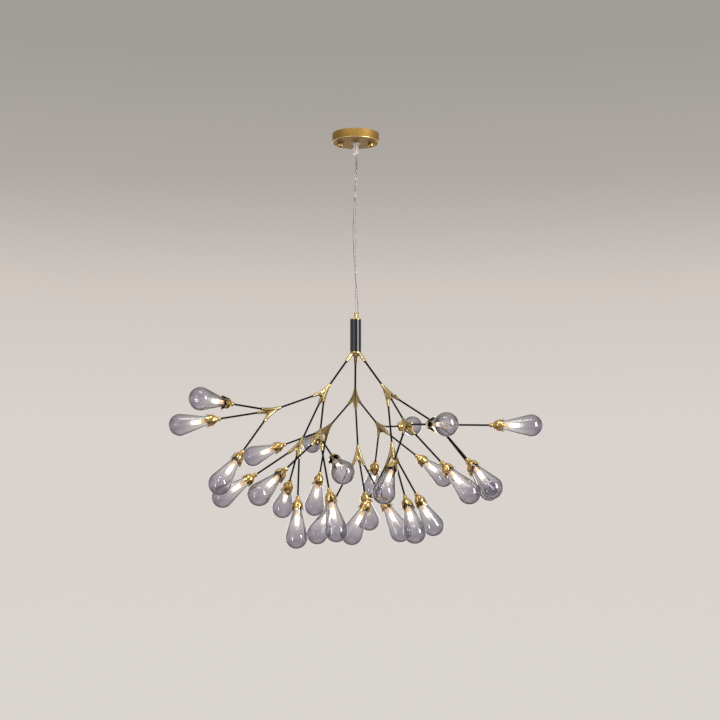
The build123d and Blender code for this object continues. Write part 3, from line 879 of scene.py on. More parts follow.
@dataclass
class Canopy:
    """The canopy with its nuts and studs, the cord grip, and the bracket and terminal inside."""

    radius: float = 60.0
    height: float = 24.0
    wall: float = 1.2
    edge: float = 3.0
    rim_ease: float = 0.3
    flat_margin: float = 2.0
    grip_bore: float = 6.85
    stud_offset: float = 39.0
    stud_radius: float = 2.0
    nut_radius: float = 7.5
    nut_height: float = 13.0
    nut_bore: float = 9.0
    turned_ease: float = 0.5
    flange_radius: float = 9.0
    flange_height: float = 3.0
    flange_ease: float = 0.6
    nose_radius: float = 7.0
    nose_tip_radius: float = 6.7
    nose_height: float = 8.0
    sleeve_radius: float = 7.8
    sleeve_tip_radius: float = 6.8
    sleeve_height: float = 18.0
    rings: int = 5
    ring_depth: float = 0.12
    thread_radius: float = 6.7
    thread_height: float = 6.0
    thread_room: float = 0.15
    lock_nut_radius: float = 11.5
    lock_nut_height: float = 3.5
    lock_nut_chamfer: Span = (0.8, 0.6)
    shell_sides: int = 128
    flat_points: int = 6
    edge_points: int = 9
    inner_edge_points: int = 7
    nut_sides: int = 48
    dome_points: int = 14
    stud_sides: int = 20
    grip_sides: int = 64
    sleeve_points: int = 55
    lock_nut_sides: int = 6

    def build(self) -> None:
        """Make the canopy's pieces and dress what stays."""
        body, brass, nylon = "ceiling_mount", "satin_brass", "clear_nylon"
        shell = lathe(self.shell_line(), self.shell_sides, loop=True)
        make(shell, "canopy_shell", CANOPY_BRASS, body, brass, "canopy_cover")
        places = [aimed((side * self.stud_offset, 0, 0)) for side in (-1, 1)]
        nuts = lathe(self.nut_line(), self.nut_sides).moved(places)
        make(nuts, "domed_nuts", TURNED_BRASS, body, brass, "canopy_fasteners")
        stud = pin_line(self.stud_radius, -self.height - self.nut_bore, 0)
        studs = lathe(stud, self.stud_sides).moved(places)
        make(studs, "canopy_studs", ZINC_STEEL, body, brass, "canopy_fasteners")
        gland = lathe(self.gland_line(), self.grip_sides)
        make(gland, "cord_gland", GRIP_NYLON, body, nylon, "cord_grip")
        sleeve = lathe(self.sleeve_line(), self.grip_sides)
        make(sleeve, "gland_sleeve", SLEEVE_VINYL, body, nylon, "cord_grip")
        lock_nut = lathe(self.lock_nut_line(), self.lock_nut_sides, loop=True)
        make(lock_nut, "gland_lock_nut", GRIP_NYLON, body, nylon, "cord_grip")
        dress_node("ceiling_bracket", ZINC_STEEL)
        dress_node("terminal_block", TERMINAL_NYLON)

    def shell_line(self) -> Array:
        """Give the shell's outline: the underside, a rounded edge, the wall and the inside.

        Returns:
            Its (radius, height) points.
        """
        under, inside = -self.height, -self.height + self.wall
        inner, e = self.radius - self.wall, self.rim_ease
        corner = (self.radius - self.edge, under + self.edge)
        flat = corner[0] - self.flat_margin
        bottom = np.linspace((self.grip_bore, under), (flat, under), self.flat_points)
        outer_edge = arc(corner, self.edge, -90, 0, self.edge_points)
        rim = [(self.radius, -e), (self.radius - e, 0), (inner + e, 0), (inner, -e)]
        inner_edge = arc(corner, self.edge - self.wall, 0, -90, self.inner_edge_points)
        floor = np.linspace((flat, inside), (self.grip_bore, inside), self.flat_points)
        return np.concatenate([bottom, outer_edge, rim, inner_edge, floor])

    def nut_line(self) -> Array:
        """Give a domed nut's outline: a half ball on a short drum, with eased edges.

        Returns:
            Its (radius, height) points.
        """
        top, r, e = -self.height, self.nut_radius, self.turned_ease
        dome = arc((0, top - self.nut_height + r), r, -90, 0, self.dome_points)
        dome[0, 0] = 0
        return np.concatenate([dome, [(r, top - e), (r - e, top), (0, top)]])

    def gland_line(self) -> Array:
        """Give the gland's outline: a tapered nose, a flange and the thread inside.

        Returns:
            Its (radius, height) points.
        """
        under, e = -self.height, self.flange_ease
        low = under - self.flange_height
        end, top = low - self.nose_height, under + self.wall + self.thread_height
        tip, flange, thread = self.nose_tip_radius, self.flange_radius, self.thread_radius
        nose = [(0, end), (tip - e, end), (tip, end + e), (self.nose_radius, low)]
        ring = [(flange - e, low), (flange, low + e), (flange, under)]
        e = self.turned_ease
        screw = [(thread, under), (thread, under + self.wall), (thread, top - e), (thread - e, top), (0, top)]
        return np.array(nose + ring + screw)

    def sleeve_line(self) -> Array:
        """Give the soft sleeve's outline: ringed like a bellows, and narrower to its end.

        Returns:
            Its (radius, height) points.
        """
        top = -self.height - self.flange_height - self.nose_height
        end = top - self.sleeve_height
        share = np.linspace(0, 1, self.sleeve_points)
        radius = self.sleeve_tip_radius + (self.sleeve_radius - self.sleeve_tip_radius) * share
        radius -= self.ring_depth * np.sin(self.rings * math.pi * share) ** 2
        side = np.stack([radius, end + self.sleeve_height * share], -1)
        return np.concatenate([[(0, end)], side, [(0, top)]])

    def lock_nut_line(self) -> Array:
        """Give the lock nut's outline, a ring with chamfered edges.

        Returns:
            Its (radius, height) points.
        """
        low = -self.height + self.wall
        high = low + self.lock_nut_height
        inner, outer = self.thread_radius + self.thread_room, self.lock_nut_radius
        across, down = self.lock_nut_chamfer
        outside = [(outer, low), (outer, high - down), (outer - across, high)]
        return np.array([(inner, low), *outside, (inner, high)])


@dataclass
class Suspension:
    """The steel cable and, waving beside it, the clear cord with its conductors and clips."""

    cable_radius: float = 0.6
    cable_top: float = -11.5
    cable_end: float = -496.0
    cable_rings: int = 700
    cable_sides: int = 18
    strands: int = 6
    strand_pitch: float = 7.0
    flute: float = 0.07
    stop_radius: float = 1.7
    stop_length: float = 5.0
    stop_sides: int = 20
    cord_radius: float = 1.8
    cord_sides: int = 20
    cord_steps: int = 24
    conductor_radius: float = 0.42
    conductor_sides: int = 10
    conductor_offset: float = 0.46
    conductor_pitch: float = 150.0
    clip_heights: Row = (-120.0, -164.0, -362.0)
    clip_room: float = 0.35
    clip_band: float = 0.45
    clip_half_height: float = 1.5
    clip_half_turn: int = 16
    clip_sides: int = 12
    clip_power: float = 0.5
    blend_start: float = -53.0
    blend_end: float = -470.0

    ROUTE: ClassVar[list[Point]] = [
        (3.8, 0, -13.5),
        (3.8, 0, -56),
        (2.6, -2.6, -99),
        (-0.8, -3.6, -141),
        (-4.6, -3.0, -187),
        (-6.4, -1.8, -238),
        (-5.6, -2.4, -290),
        (-3.6, -3.4, -338),
        (0.6, -4.2, -386),
        (5.0, -2.2, -432),
        (6.8, 0, -470),
        (6.8, 0, -506),
    ]

    def build(self) -> None:
        """Make the cable, the cord and what is on them."""
        self.build_cable()
        self.build_cord()

    def build_cable(self) -> None:
        """Make the taut cable, a fluted line that turns like laid strands, and its stops."""
        path = np.linspace((0, 0, self.cable_top), (0, 0, self.cable_end), self.cable_rings)
        lay = 2 * math.pi * path[:, 2:] / self.strand_pitch
        flutes = np.cos(self.strands * (around(self.cable_sides) - lay))
        radius = self.cable_radius * (1 - self.flute + self.flute * flutes)
        taken = (CABLE_STEEL, "pendant", "steel_wire", "steel_cable")
        cable = make(swept(path, radius, self.cable_sides), "steel_cable_strand", *taken)
        tops = (self.cable_top, self.cable_end + self.stop_length)
        pins = [pin_line(self.stop_radius, top - self.stop_length, top) for top in tops]
        stops = joined([lathe(pin, self.stop_sides) for pin in pins])
        crimps = make(stops, "cable_stops", *taken)

    def route_line(self) -> Array:
        """Read points along the cord's route from a smooth curve with the route's points.

        Returns:
            The points.
        """
        curve = bpy.data.curves.new("cord_route", "CURVE")
        curve.dimensions = "3D"
        curve.resolution_u = self.cord_steps
        spline = curve.splines.new("NURBS")
        spline.points.add(len(self.ROUTE) - 1)
        for point, place in zip(spline.points, self.ROUTE):
            point.co = (*place, 1.0)
        spline.order_u = 3
        spline.use_endpoint_u = True
        holder = bpy.data.objects.new("cord_route", curve)
        mesh = bpy.data.meshes.new_from_object(holder)
        line = np.zeros(len(mesh.vertices) * 3, np.float32)
        mesh.vertices.foreach_get("co", line)
        bpy.data.objects.remove(holder)
        bpy.data.curves.remove(curve)
        bpy.data.meshes.remove(mesh)
        return line.reshape(-1, 3).astype(float)

    def build_cord(self) -> None:
        """Make the clear cord, its two twisted conductors and the clips round it and the cable."""
        path = self.route_line()
        cord = swept(path, self.cord_radius, self.cord_sides).piece("cord_jacket", CORD_PVC)
        reach = np.concatenate([[0], np.cumsum(np.linalg.norm(np.diff(path, axis=0), axis=1))])
        wires = []
        for half in (0, math.pi):
            lay = 2 * math.pi * reach / self.conductor_pitch + half
            offset = np.stack([np.cos(lay), np.sin(lay), np.zeros_like(lay)], -1) * self.conductor_offset
            wires.append(swept(path + offset, self.conductor_radius, self.conductor_sides))
        conductors = joined(wires).piece("cord_conductors", TINNED_COPPER)
        clips = joined([self.clip(path, z) for z in self.clip_heights]).piece("cord_clips", GRIP_NYLON)
        for piece in (cord, conductors, clips):
            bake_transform(piece)
            register(piece, "power_cord")

    def clip(self, path: Array, height: float) -> Surface:
        """Make one clip: a flat band carried round the cable and the cord.

        The band's middle line is a stadium, two half circles about the cable and the cord. Its
        section is a rounded bar: (w cos v, h sin v) with the power of both eased.

        Args:
            path: The cord's middle line.
            height: Where the clip is.

        Returns:
            The band, closed on itself.
        """
        at = np.array([np.interp(-height, -path[:, 2], path[:, k]) for k in (0, 1)])
        lean = math.atan2(at[1], at[0])
        r, count = self.cord_radius + self.clip_room + self.clip_band, self.clip_half_turn
        halves = [((np.linalg.norm(at), 0), -90), ((0, 0), 90)]
        line = np.concatenate([arc(centre, r, start, start + 180, count) for centre, start in halves])
        out = np.concatenate([arc((0, 0), 1, start, start + 180, count) for _, start in halves])
        v = around(self.clip_sides)
        wide = self.clip_band * np.sign(np.cos(v)) * np.abs(np.cos(v)) ** self.clip_power
        tall = self.clip_half_height * np.sign(np.sin(v)) * np.abs(np.sin(v)) ** self.clip_power
        flat = line[None] + wide[:, None, None] * out[None]
        turned = np.array([[math.cos(lean), math.sin(lean)], [-math.sin(lean), math.cos(lean)]])
        rise = np.broadcast_to(tall[:, None, None] + height, (*flat.shape[:2], 1))
        points = np.concatenate([flat @ turned, rise], -1).reshape(-1, 3)
        number = np.arange(len(points)).reshape(flat.shape[:2])
        return Surface(points, woven(number, True), np.zeros(len(points)))


@dataclass
class Hub:
    """The hub: gripper, cap, enamelled tube and the casting with a rod socket for each limb."""

    limbs: list[Array]
    radius: float = 14.25
    bore: float = 13.05
    bottom: float = -566.0
    top: float = -484.0
    tube_ease: float = 0.4
    cap: float = 2.0
    cap_edge: float = 0.8
    plug_depth: float = 6.0
    plug_wall: float = 2.0
    room: float = 0.15
    gripper_radius: float = 4.0
    gripper_tip: float = 2.5
    gripper_height: float = 18.0
    gripper_ease: float = 0.4
    groove_heights: Row = (3.0, 9.0)
    groove_depth: float = 0.5
    tip_height: float = 5.0
    tip_ease: float = 0.3
    tail_radius: float = 3.0
    tail_length: float = 9.0
    rim: float = 4.0
    cone: float = 9.0
    cone_radius: float = 6.0
    socket_radii: Span = (4.7, 4.2)
    socket_reach: float = 45.0
    socket_slant: float = math.radians(38)
    socket_inset: float = 2.0
    rim_fillet: float = 1.0
    socket_fillet: float = 2.2
    casting_low: Point = (-36.0, -36.0, -48.0)
    casting_high: Point = (36.0, 36.0, 0.5)
    grain: float = 0.6
    gripper_sides: int = 40
    cap_sides: int = 64
    cap_edge_points: int = 6
    tube_sides: int = 96

    def build(self) -> None:
        """Make the hub's pieces and dress the driver in it."""
        body, brass = "pendant", "turned_brass"
        gripper = lathe(self.gripper_line(), self.gripper_sides)
        make(gripper, "cable_gripper_body", TURNED_BRASS, body, brass, "cable_gripper")
        cap = lathe(self.cap_line(), self.cap_sides, loop=True)
        make(cap, "hub_cap", TURNED_BRASS, body, brass, "hub_top_cap")
        tube = lathe(self.tube_line(), self.tube_sides, loop=True)
        make(tube, "hub_sleeve", HUB_ENAMEL, body, "gloss_black", "hub_tube")
        low, high = APEX + self.casting_low, APEX + self.casting_high
        casting = skinned(self.manifold_field, low, high, self.grain)
        make(casting, "hub_casting", CAST_BRASS, body, "cast_brass", "hub_manifold")
        dress_node("led_driver", DRIVER_CASE)

    def gripper_line(self) -> Array:
        """Give the gripper's outline: tail, body with two grooves, and a tapered tip.

        Returns:
            Its (radius, height) points.
        """
        base = self.top + self.cap
        end = base + self.gripper_height
        r, tail, tip, e = self.gripper_radius, self.tail_radius, self.gripper_tip, self.gripper_ease
        points = [(0, base - self.tail_length), (tail, base - self.tail_length), (tail, base)]
        points += [(r - e, base), (r, base + e)]
        for rise in self.groove_heights:
            points += groove(r, base + rise, self.groove_depth, self.groove_depth)
        e = self.tip_ease
        return np.array(points + [(r, end - self.tip_height), (tip + e, end - e), (tip, end), (0, end)])

    def cap_line(self) -> Array:
        """Give the cap's outline: a disc with a rounded edge, and its plug in the tube.

        Returns:
            Its (radius, height) points.
        """
        base, top, low = self.top, self.top + self.cap, self.top - self.plug_depth
        plug, hole = self.bore - self.room, self.tail_radius + self.room
        inner = plug - self.plug_wall
        corner = (self.radius - self.cap_edge, top - self.cap_edge)
        edge = arc(corner, self.cap_edge, 0, 90, self.cap_edge_points)
        lead = [(hole, base), (inner, base), (inner, low), (plug, low), (plug, base), (self.radius, base)]
        return np.concatenate([lead, edge, [(hole, top)]])

    def tube_line(self) -> Array:
        """Give the tube's outline: a wall with eased ends.

        Returns:
            Its (radius, height) points.
        """
        low, high, r, bore, e = self.bottom, self.top, self.radius, self.bore, self.tube_ease
        return np.array([(bore, low), (r - e, low), (r, low + e), (r, high - e), (r - e, high), (bore, high)])

    def manifold_field(self, p: Array) -> Array:
        """Give the distance to the casting: rim, cone and sockets, filleted into each other.

        Args:
            p: Points.

        Returns:
            The distance, negative inside.
        """
        q = p - APEX
        below = self.bottom - APEX[2]
        low = below - self.rim
        lip = cone_field(q, UP, (low, below), (self.radius, self.radius))
        cone = cone_field(q, UP, (low - self.cone, low), (self.cone_radius, self.radius))
        casting = soft_union(lip, cone, self.rim_fillet)
        start = -below / math.cos(self.socket_slant) + self.socket_inset
        for limb in self.limbs:
            socket = cone_field(q, limb, (start, self.socket_reach), self.socket_radii)
            casting = soft_union(casting, socket, self.socket_fillet)
        return casting


@dataclass
class Junctions:
    """The three-way castings: an inlet that flares into three outlets, with webs between them."""

    limbs: list[Array]
    inlet: float = 25.0
    outlet: float = 35.0
    root_radius: float = 4.7
    tip_radius: float = 3.5
    bends: int = 8
    web_reach: float = 27.0
    web_waist: float = 17.0
    web_half: float = 1.2
    web_edge: float = 1.5
    fillet: float = 1.6
    margin: float = 1.5
    grain: float = 0.6

    def build(self) -> None:
        """Make the three main castings and a casting for each spray."""
        mains = []
        for limb, axis in zip(LIMB_NAMES, self.limbs):
            sprays = [spray for spray in SPRAYS if spray.limb == limb]
            place = aimed(sprays[0].root(), axis)
            mains.append(self.casting([place[:3, :3].T @ s.axis for s in sprays]).moved([place]))
        make(joined(mains), "main_castings", CAST_BRASS, "pendant", "cast_brass", "main_junctions")
        casting = self.casting(even_outlets())
        for spray in SPRAYS:
            turned = casting.moved([aimed(spray.centre, spray.axis, spray.clock)])
            name, node = "casting_" + spray.name, "junction_" + spray.name
            make(turned, name, CAST_BRASS, spray.body, "cast_brass", node)

    def casting(self, outlets: list[Array]) -> Surface:
        """Make a casting about its middle, with its inlet along -Z.

        Args:
            outlets: Its three outlet directions.

        Returns:
            Its skin.
        """
        ends = np.stack([axis * self.outlet for axis in outlets] + [-UP * self.inlet])
        room = self.root_radius + self.margin
        low, high = ends.min(0) - room, ends.max(0) + room
        return skinned(lambda p: self.casting_field(p, outlets), low, high, self.grain)

    def casting_field(self, p: Array, outlets: list[Array]) -> Array:
        """Give the distance to a casting.

        A bent tube leads from the inlet to each outlet. The webs are a thin bell through the
        outlets' axes, with a ball scooped out between each two of them.

        Args:
            p: Points.
            outlets: The outlet directions.

        Returns:
            The distance, negative inside.
        """
        shape = np.min([self.tube_field(p, axis) for axis in outlets], axis=0)
        out = np.linalg.norm(p[..., :2], axis=-1)
        wide, tall = math.sin(Spray.SPREAD), math.cos(Spray.SPREAD)
        web = np.abs(out * tall - p[..., 2] * wide) - self.web_half
        web = np.maximum(web, np.linalg.norm(p, axis=-1) - self.web_reach)
        for first, second in zip(outlets, outlets[1:] + outlets[:1]):
            between = (first + second)[:2]
            level = between / np.linalg.norm(between)
            middle = np.array([*(level * wide), tall]) * self.web_reach
            scoop = self.web_reach - self.web_waist - np.linalg.norm(p - middle, axis=-1)
            web = -soft_union(-web, -scoop, self.web_edge)
        return soft_union(shape, web, self.fillet)

    def tube_field(self, p: Array, axis: Array) -> Array:
        """Give the distance to a bent tube, c(t) = (1 - t)^2 inlet + t^2 outlet, widest half way.

        Args:
            p: Points.
            axis: The outlet's direction.

        Returns:
            The distance, negative inside. The tube's ends are flat.
        """
        t = np.linspace(0, 1, self.bends + 1)
        line = np.outer((1 - t) ** 2, -UP * self.inlet) + np.outer(t**2, axis * self.outlet)
        radius = self.tip_radius + (self.root_radius - self.tip_radius) * 4 * t * (1 - t)
        near = np.full(p.shape[:-1], np.inf)
        for k in range(self.bends):
            run = line[k + 1] - line[k]
            share = np.clip((p - line[k]) @ run / (run @ run), 0, 1)
            away = np.linalg.norm(p - line[k] - share[..., None] * run, axis=-1)
            near = np.minimum(near, away - radius[k] - share * (radius[k + 1] - radius[k]))
        return np.max([near, p @ axis - self.outlet, -self.inlet - p[..., 2]], axis=0)


@dataclass
class Rods:
    """The black rods: limbs, branches and twigs, each a bar between two castings."""

    limbs: list[Array]
    limb_radius: float = 2.5
    rod_radius: float = 2.3
    limb_span: Span = (32.0, 134.0)
    branch_span: Span = (22.0, 137.7)
    twig_span: Span = (22.0, 139.0)
    ease: float = 0.3
    rings: int = 9
    sides: int = 24

    def build(self) -> None:
        """Make the rods."""
        bars = self.bar(self.limb_radius, self.limb_span).moved([aimed(APEX, a) for a in self.limbs])
        make(bars, "limb_bars", ROD_PAINT, "pendant", "satin_black", "limb_rods")
        places = [aimed(spray.root(), spray.axis) for spray in SPRAYS]
        bars = self.bar(self.rod_radius, self.branch_span).moved(places)
        make(bars, "branch_bars", ROD_PAINT, "pendant", "satin_black", "branch_rods")
        twig = self.bar(self.rod_radius, self.twig_span)
        for spray in SPRAYS:
            bars = twig.moved([aimed(spray.centre, axis) for axis in spray.outlets()])
            name, node = "twig_bars_" + spray.name, "twigs_" + spray.name
            make(bars, name, ROD_PAINT, spray.body, "satin_black", node)

    def bar(self, radius: float, span: Span) -> Surface:
        """Make a bar along Z, over a span, with eased ends."""
        return lathe(pin_line(radius, *span, self.ease, self.rings), self.sides)


@dataclass
class Lamps:
    """What stands on each twig: petal cup, holder, LED capsule on its foot, and pear glass."""

    petals: int = 4
    petal_columns: int = 14
    petal_rows: int = 12
    crowding: float = 1.5
    cup_steps: int = 6
    bore: float = 2.45
    cup_wall: float = 0.9
    cup_base: float = 12.5
    cup_floor: float = 12.0
    floor_radii: Row = (8.0, 5.0)
    cup_length: float = 38.0
    slit_start: float = 15.5
    slit_half: float = 0.6
    slit_curve: float = 3.2
    tip_half: float = 0.9
    mouth_radius: float = 12.9
    bulge: float = 0.45
    bulge_start: float = 16.0
    bulge_run: float = 20.0
    holder_start: float = 12.0
    holder_foot: float = 6.5
    holder_ease: float = 0.5
    holder_radius: float = 9.5
    holder_flange: float = 12.5
    flange_start: float = 21.0
    flange_ease: float = 0.4
    rib_heights: Row = (26.0, 29.0, 32.0)
    rib_depth: float = 0.6
    holder_top: float = 35.0
    foot_radius: float = 5.5
    foot_height: float = 16.0
    ridges: int = 6
    ridge_depth: float = 0.5
    capsule_radius: float = 5.4
    capsule_shoulder: float = 1.5
    capsule_end: float = 86.0
    glass_mouth: float = 24.0
    neck_radius: float = 12.5
    neck_end: float = 37.0
    flare: float = 40.0
    pear_radius: float = 27.5
    pear_centre: float = 104.0
    glass_wall: float = 1.4
    lip_half: float = 0.4
    lip_height: float = 0.5
    run_margin: float = 1.0
    holder_sides: int = 40
    lamp_sides: int = 32
    foot_points: int = 49
    shoulder_points: int = 6
    side_points: int = 8
    crown_points: int = 12
    glass_sides: int = 64
    neck_points: int = 4
    flare_points: int = 12
    flank_points: int = 6
    pear_points: int = 26

    CUP_LINE: ClassVar[list[Span]] = [
        (3.3, 0.0), (3.9, 1.4), (5.4, 3.2), (5.5, 5.2), (5.3, 7.2), (4.9, 8.8), (6.0, 10.6),
        (7.8, 12.5), (10.6, 16.0), (13.5, 20.8), (14.1, 25.0), (14.5, 29.0), (15.4, 33.5), (17.3, 38.0),
    ]

    def build(self) -> None:
        """Make every spray's cups, holders, capsules and glasses."""
        holder = lathe(self.holder_line(), self.holder_sides)
        foot = lathe(self.foot_line(), self.lamp_sides)
        capsule = lathe(self.capsule_line(), self.lamp_sides)
        parts = [
            ("cups_", self.cup(), PETAL_BRASS, "petal_brass", "petal_cups_"),
            ("holders_", holder, HOLDER_PLASTIC, "satin_black", "twigs_"),
            ("lamp_feet_", foot, LAMP_FOOT, "led_capsule", "led_lamps_"),
            ("capsules_", capsule, LIT_SILICONE, "led_capsule", "led_lamps_"),
            ("glasses_", self.glass(), SMOKE_GLASS, "smoke_glass", "glass_shades_"),
        ]
        for spray in SPRAYS:
            places = spray.lamp_places()
            for name, surface, finish, slot, node in parts:
                copies = surface.moved(places)
                make(copies, name + spray.name, finish, spray.body, slot, node + spray.name)

    def cup(self) -> Surface:
        """Make a petal cup: a stem and bowl turned about Z, and a bell slit into petals.

        The stem's rings lie at fixed heights. Above them each column rises to the petals' edge,
        h(a) = start + (length - start) s^(1/c), where s is the share of the petal's half width
        that is left at the angle a. The wall's inside follows the outside one wall in.

        Returns:
            The cup as a closed surface.
        """
        line = flowing(self.CUP_LINE, self.cup_steps)
        half = math.pi / self.petals
        side = half * (1 - (1 - np.linspace(0, 1, self.petal_columns + 1)) ** self.crowding)
        local = np.concatenate([-side[:0:-1], side[:-1]])
        turn = np.concatenate([local + 2 * half * k for k in range(self.petals)])
        offset = np.tile(local, self.petals)
        width = half * self.mouth_radius
        left = width - np.abs(offset) * self.mouth_radius - self.slit_half
        share = np.clip(left / (width - self.slit_half - self.tip_half), 0, 1)
        edge = self.slit_start + (self.cup_length - self.slit_start) * share ** (1 / self.slit_curve)
        rise = np.linspace(0, 1, self.petal_rows + 1)[1:, None]
        height = self.cup_base + (edge - self.cup_base) * rise
        petal = np.interp(height, line[:, 1], line[:, 0])
        lift = np.clip((height - self.bulge_start) / self.bulge_run, 0, 1) ** 2
        petal = petal + self.bulge * lift * np.cos(self.petals * offset)
        stem = np.concatenate([[(self.bore, 0.0)], line[line[:, 1] <= self.cup_base]])
        floor = np.array([(radius, self.cup_floor) for radius in (*self.floor_radii, self.bore)])
        stem, floor = (np.repeat(rows[..., None], len(turn), 2) for rows in (stem, floor))
        radius = np.concatenate([stem[:, 0], petal, petal[::-1] - self.cup_wall, floor[:, 0]])
        tall = np.concatenate([stem[:, 1], height, height[::-1], floor[:, 1]])
        points = np.stack([radius * np.cos(turn), radius * np.sin(turn), tall], -1)
        number = np.arange(radius.size).reshape(radius.shape)
        return Surface(points.reshape(-1, 3), woven(number, True), (tall / self.cup_length).ravel())

    def holder_line(self) -> Array:
        """Give the holder's outline: a foot, a flange under the glass and a ribbed barrel.

        Returns:
            Its (radius, height) points.
        """
        start, foot, r, top = self.holder_start, self.holder_foot, self.holder_radius, self.holder_top
        flange, low, high, e = self.holder_flange, self.flange_start, self.glass_mouth, self.flange_ease
        round_foot = [(foot - self.holder_ease, start), (foot, start + self.holder_ease)]
        points = [(0, start), *round_foot, (r, low), (flange - e, low)]
        points += [(flange, low + e), (flange, high - e), (flange - e, high), (r, high)]
        for rib in self.rib_heights:
            points += groove(r, rib, self.rib_depth, e)
        e = self.rib_depth
        return np.array(points + [(r, top - e), (r - e, top), (self.foot_radius, top), (0, top)])

    def foot_line(self) -> Array:
        """Give the capsule's foot: a short drum with rounded ridges.

        Returns:
            Its (radius, height) points.
        """
        low, share = self.holder_top, np.linspace(0, 1, self.foot_points)
        ridged = self.foot_radius - self.ridge_depth * np.abs(np.sin(self.ridges * math.pi * share))
        side = np.stack([ridged, low + self.foot_height * share], -1)
        return np.concatenate([[(0, low)], side, [(0, low + self.foot_height)]])

    def capsule_line(self) -> Array:
        """Give the capsule's outline: a rounded shoulder, a straight side and a round end.

        Returns:
            Its (radius, height) points.
        """
        low, r, e = self.holder_top + self.foot_height, self.capsule_radius, self.capsule_shoulder
        shoulder = arc((r - e, low + e), e, -90, 0, self.shoulder_points)
        side_end = self.capsule_end - r - self.run_margin
        straight = np.linspace((r, low + 2 * e), (r, side_end), self.side_points)
        crown = arc((0, self.capsule_end - r), r, 0, 90, self.crown_points)
        crown[-1, 0] = 0
        return np.concatenate([[(0, low)], shoulder, straight, crown])

    def pear_line(self, inset: float) -> Array:
        """Give the pear's outline moved in by an inset, from its mouth to its tip.

        The neck is straight, flares on an arc, and runs straight to touch the round end.

        Args:
            inset: How far inside the outer face the line lies.

        Returns:
            The outline's points.
        """
        neck, flare, end = self.neck_radius - inset, self.flare + inset, self.pear_radius - inset
        away = np.array([neck + flare, self.neck_end - self.pear_centre])
        slope = math.atan2(away[1], away[0]) + math.acos((end + flare) / np.linalg.norm(away))
        lean = math.degrees(slope)
        low, high = self.glass_mouth + self.lip_height, self.neck_end - self.run_margin
        straight = np.linspace((neck, low), (neck, high), self.neck_points)
        hollow = arc((neck + flare, self.neck_end), flare, 180, 180 + lean, self.flare_points)
        crown = arc((0, self.pear_centre), end, lean, 90, self.pear_points)
        crown[-1, 0] = 0
        flank = np.linspace(hollow[-1], crown[0], self.flank_points)[1:-1]
        return np.concatenate([straight, hollow, flank, crown])

    def glass(self) -> Surface:
        """Make the pear glass: its outer and inner faces, joined by a rounded mouth.

        Returns:
            The glass as a closed surface.
        """
        middle = self.neck_radius - self.glass_wall / 2
        mouth = [(middle + side * self.lip_half, self.glass_mouth) for side in (-1, 1)]
        inner = self.pear_line(self.glass_wall)[::-1]
        return lathe(np.concatenate([inner, mouth, self.pear_line(0)]), self.glass_sides)


# The stage


@dataclass(frozen=True)
class SoftLamp:
    """A soft studio lamp: its place and its width and height, in millimetres, and its light.

    Its brightness is that of its face, where 1 is white. Metal and glass show the face of a
    mirrored lamp, and the glass also shows a glinting one from inside, on its far wall.
    """

    name: str
    place: Point
    size: Span
    brightness: float
    colour: str = "#FFFFFF"
    mirrored: bool = True
    glinting: bool = False

    def add(self, target: Point) -> None:
        """Add the lamp, turned to a target. Its power is pi times its area times its brightness.

        Args:
            target: The point that it looks at, in millimetres.
        """
        wide, tall = (length / METRE for length in self.size)
        data = bpy.data.lights.new(self.name, "AREA")
        data.shape = "RECTANGLE"
        data.size, data.size_y = tall, wide
        data.energy = math.pi * wide * tall * self.brightness
        data.color = linear(self.colour)[:3]
        lamp = bpy.data.objects.new(self.name, data)
        away = np.subtract(self.place, target)
        basis = aimed(self.place, away / np.linalg.norm(away))
        basis[:3, 3] /= METRE
        lamp.matrix_world = basis.T
        lamp.visible_glossy = self.mirrored
        lamp.visible_transmission = self.glinting
        bpy.context.scene.collection.objects.link(lamp)


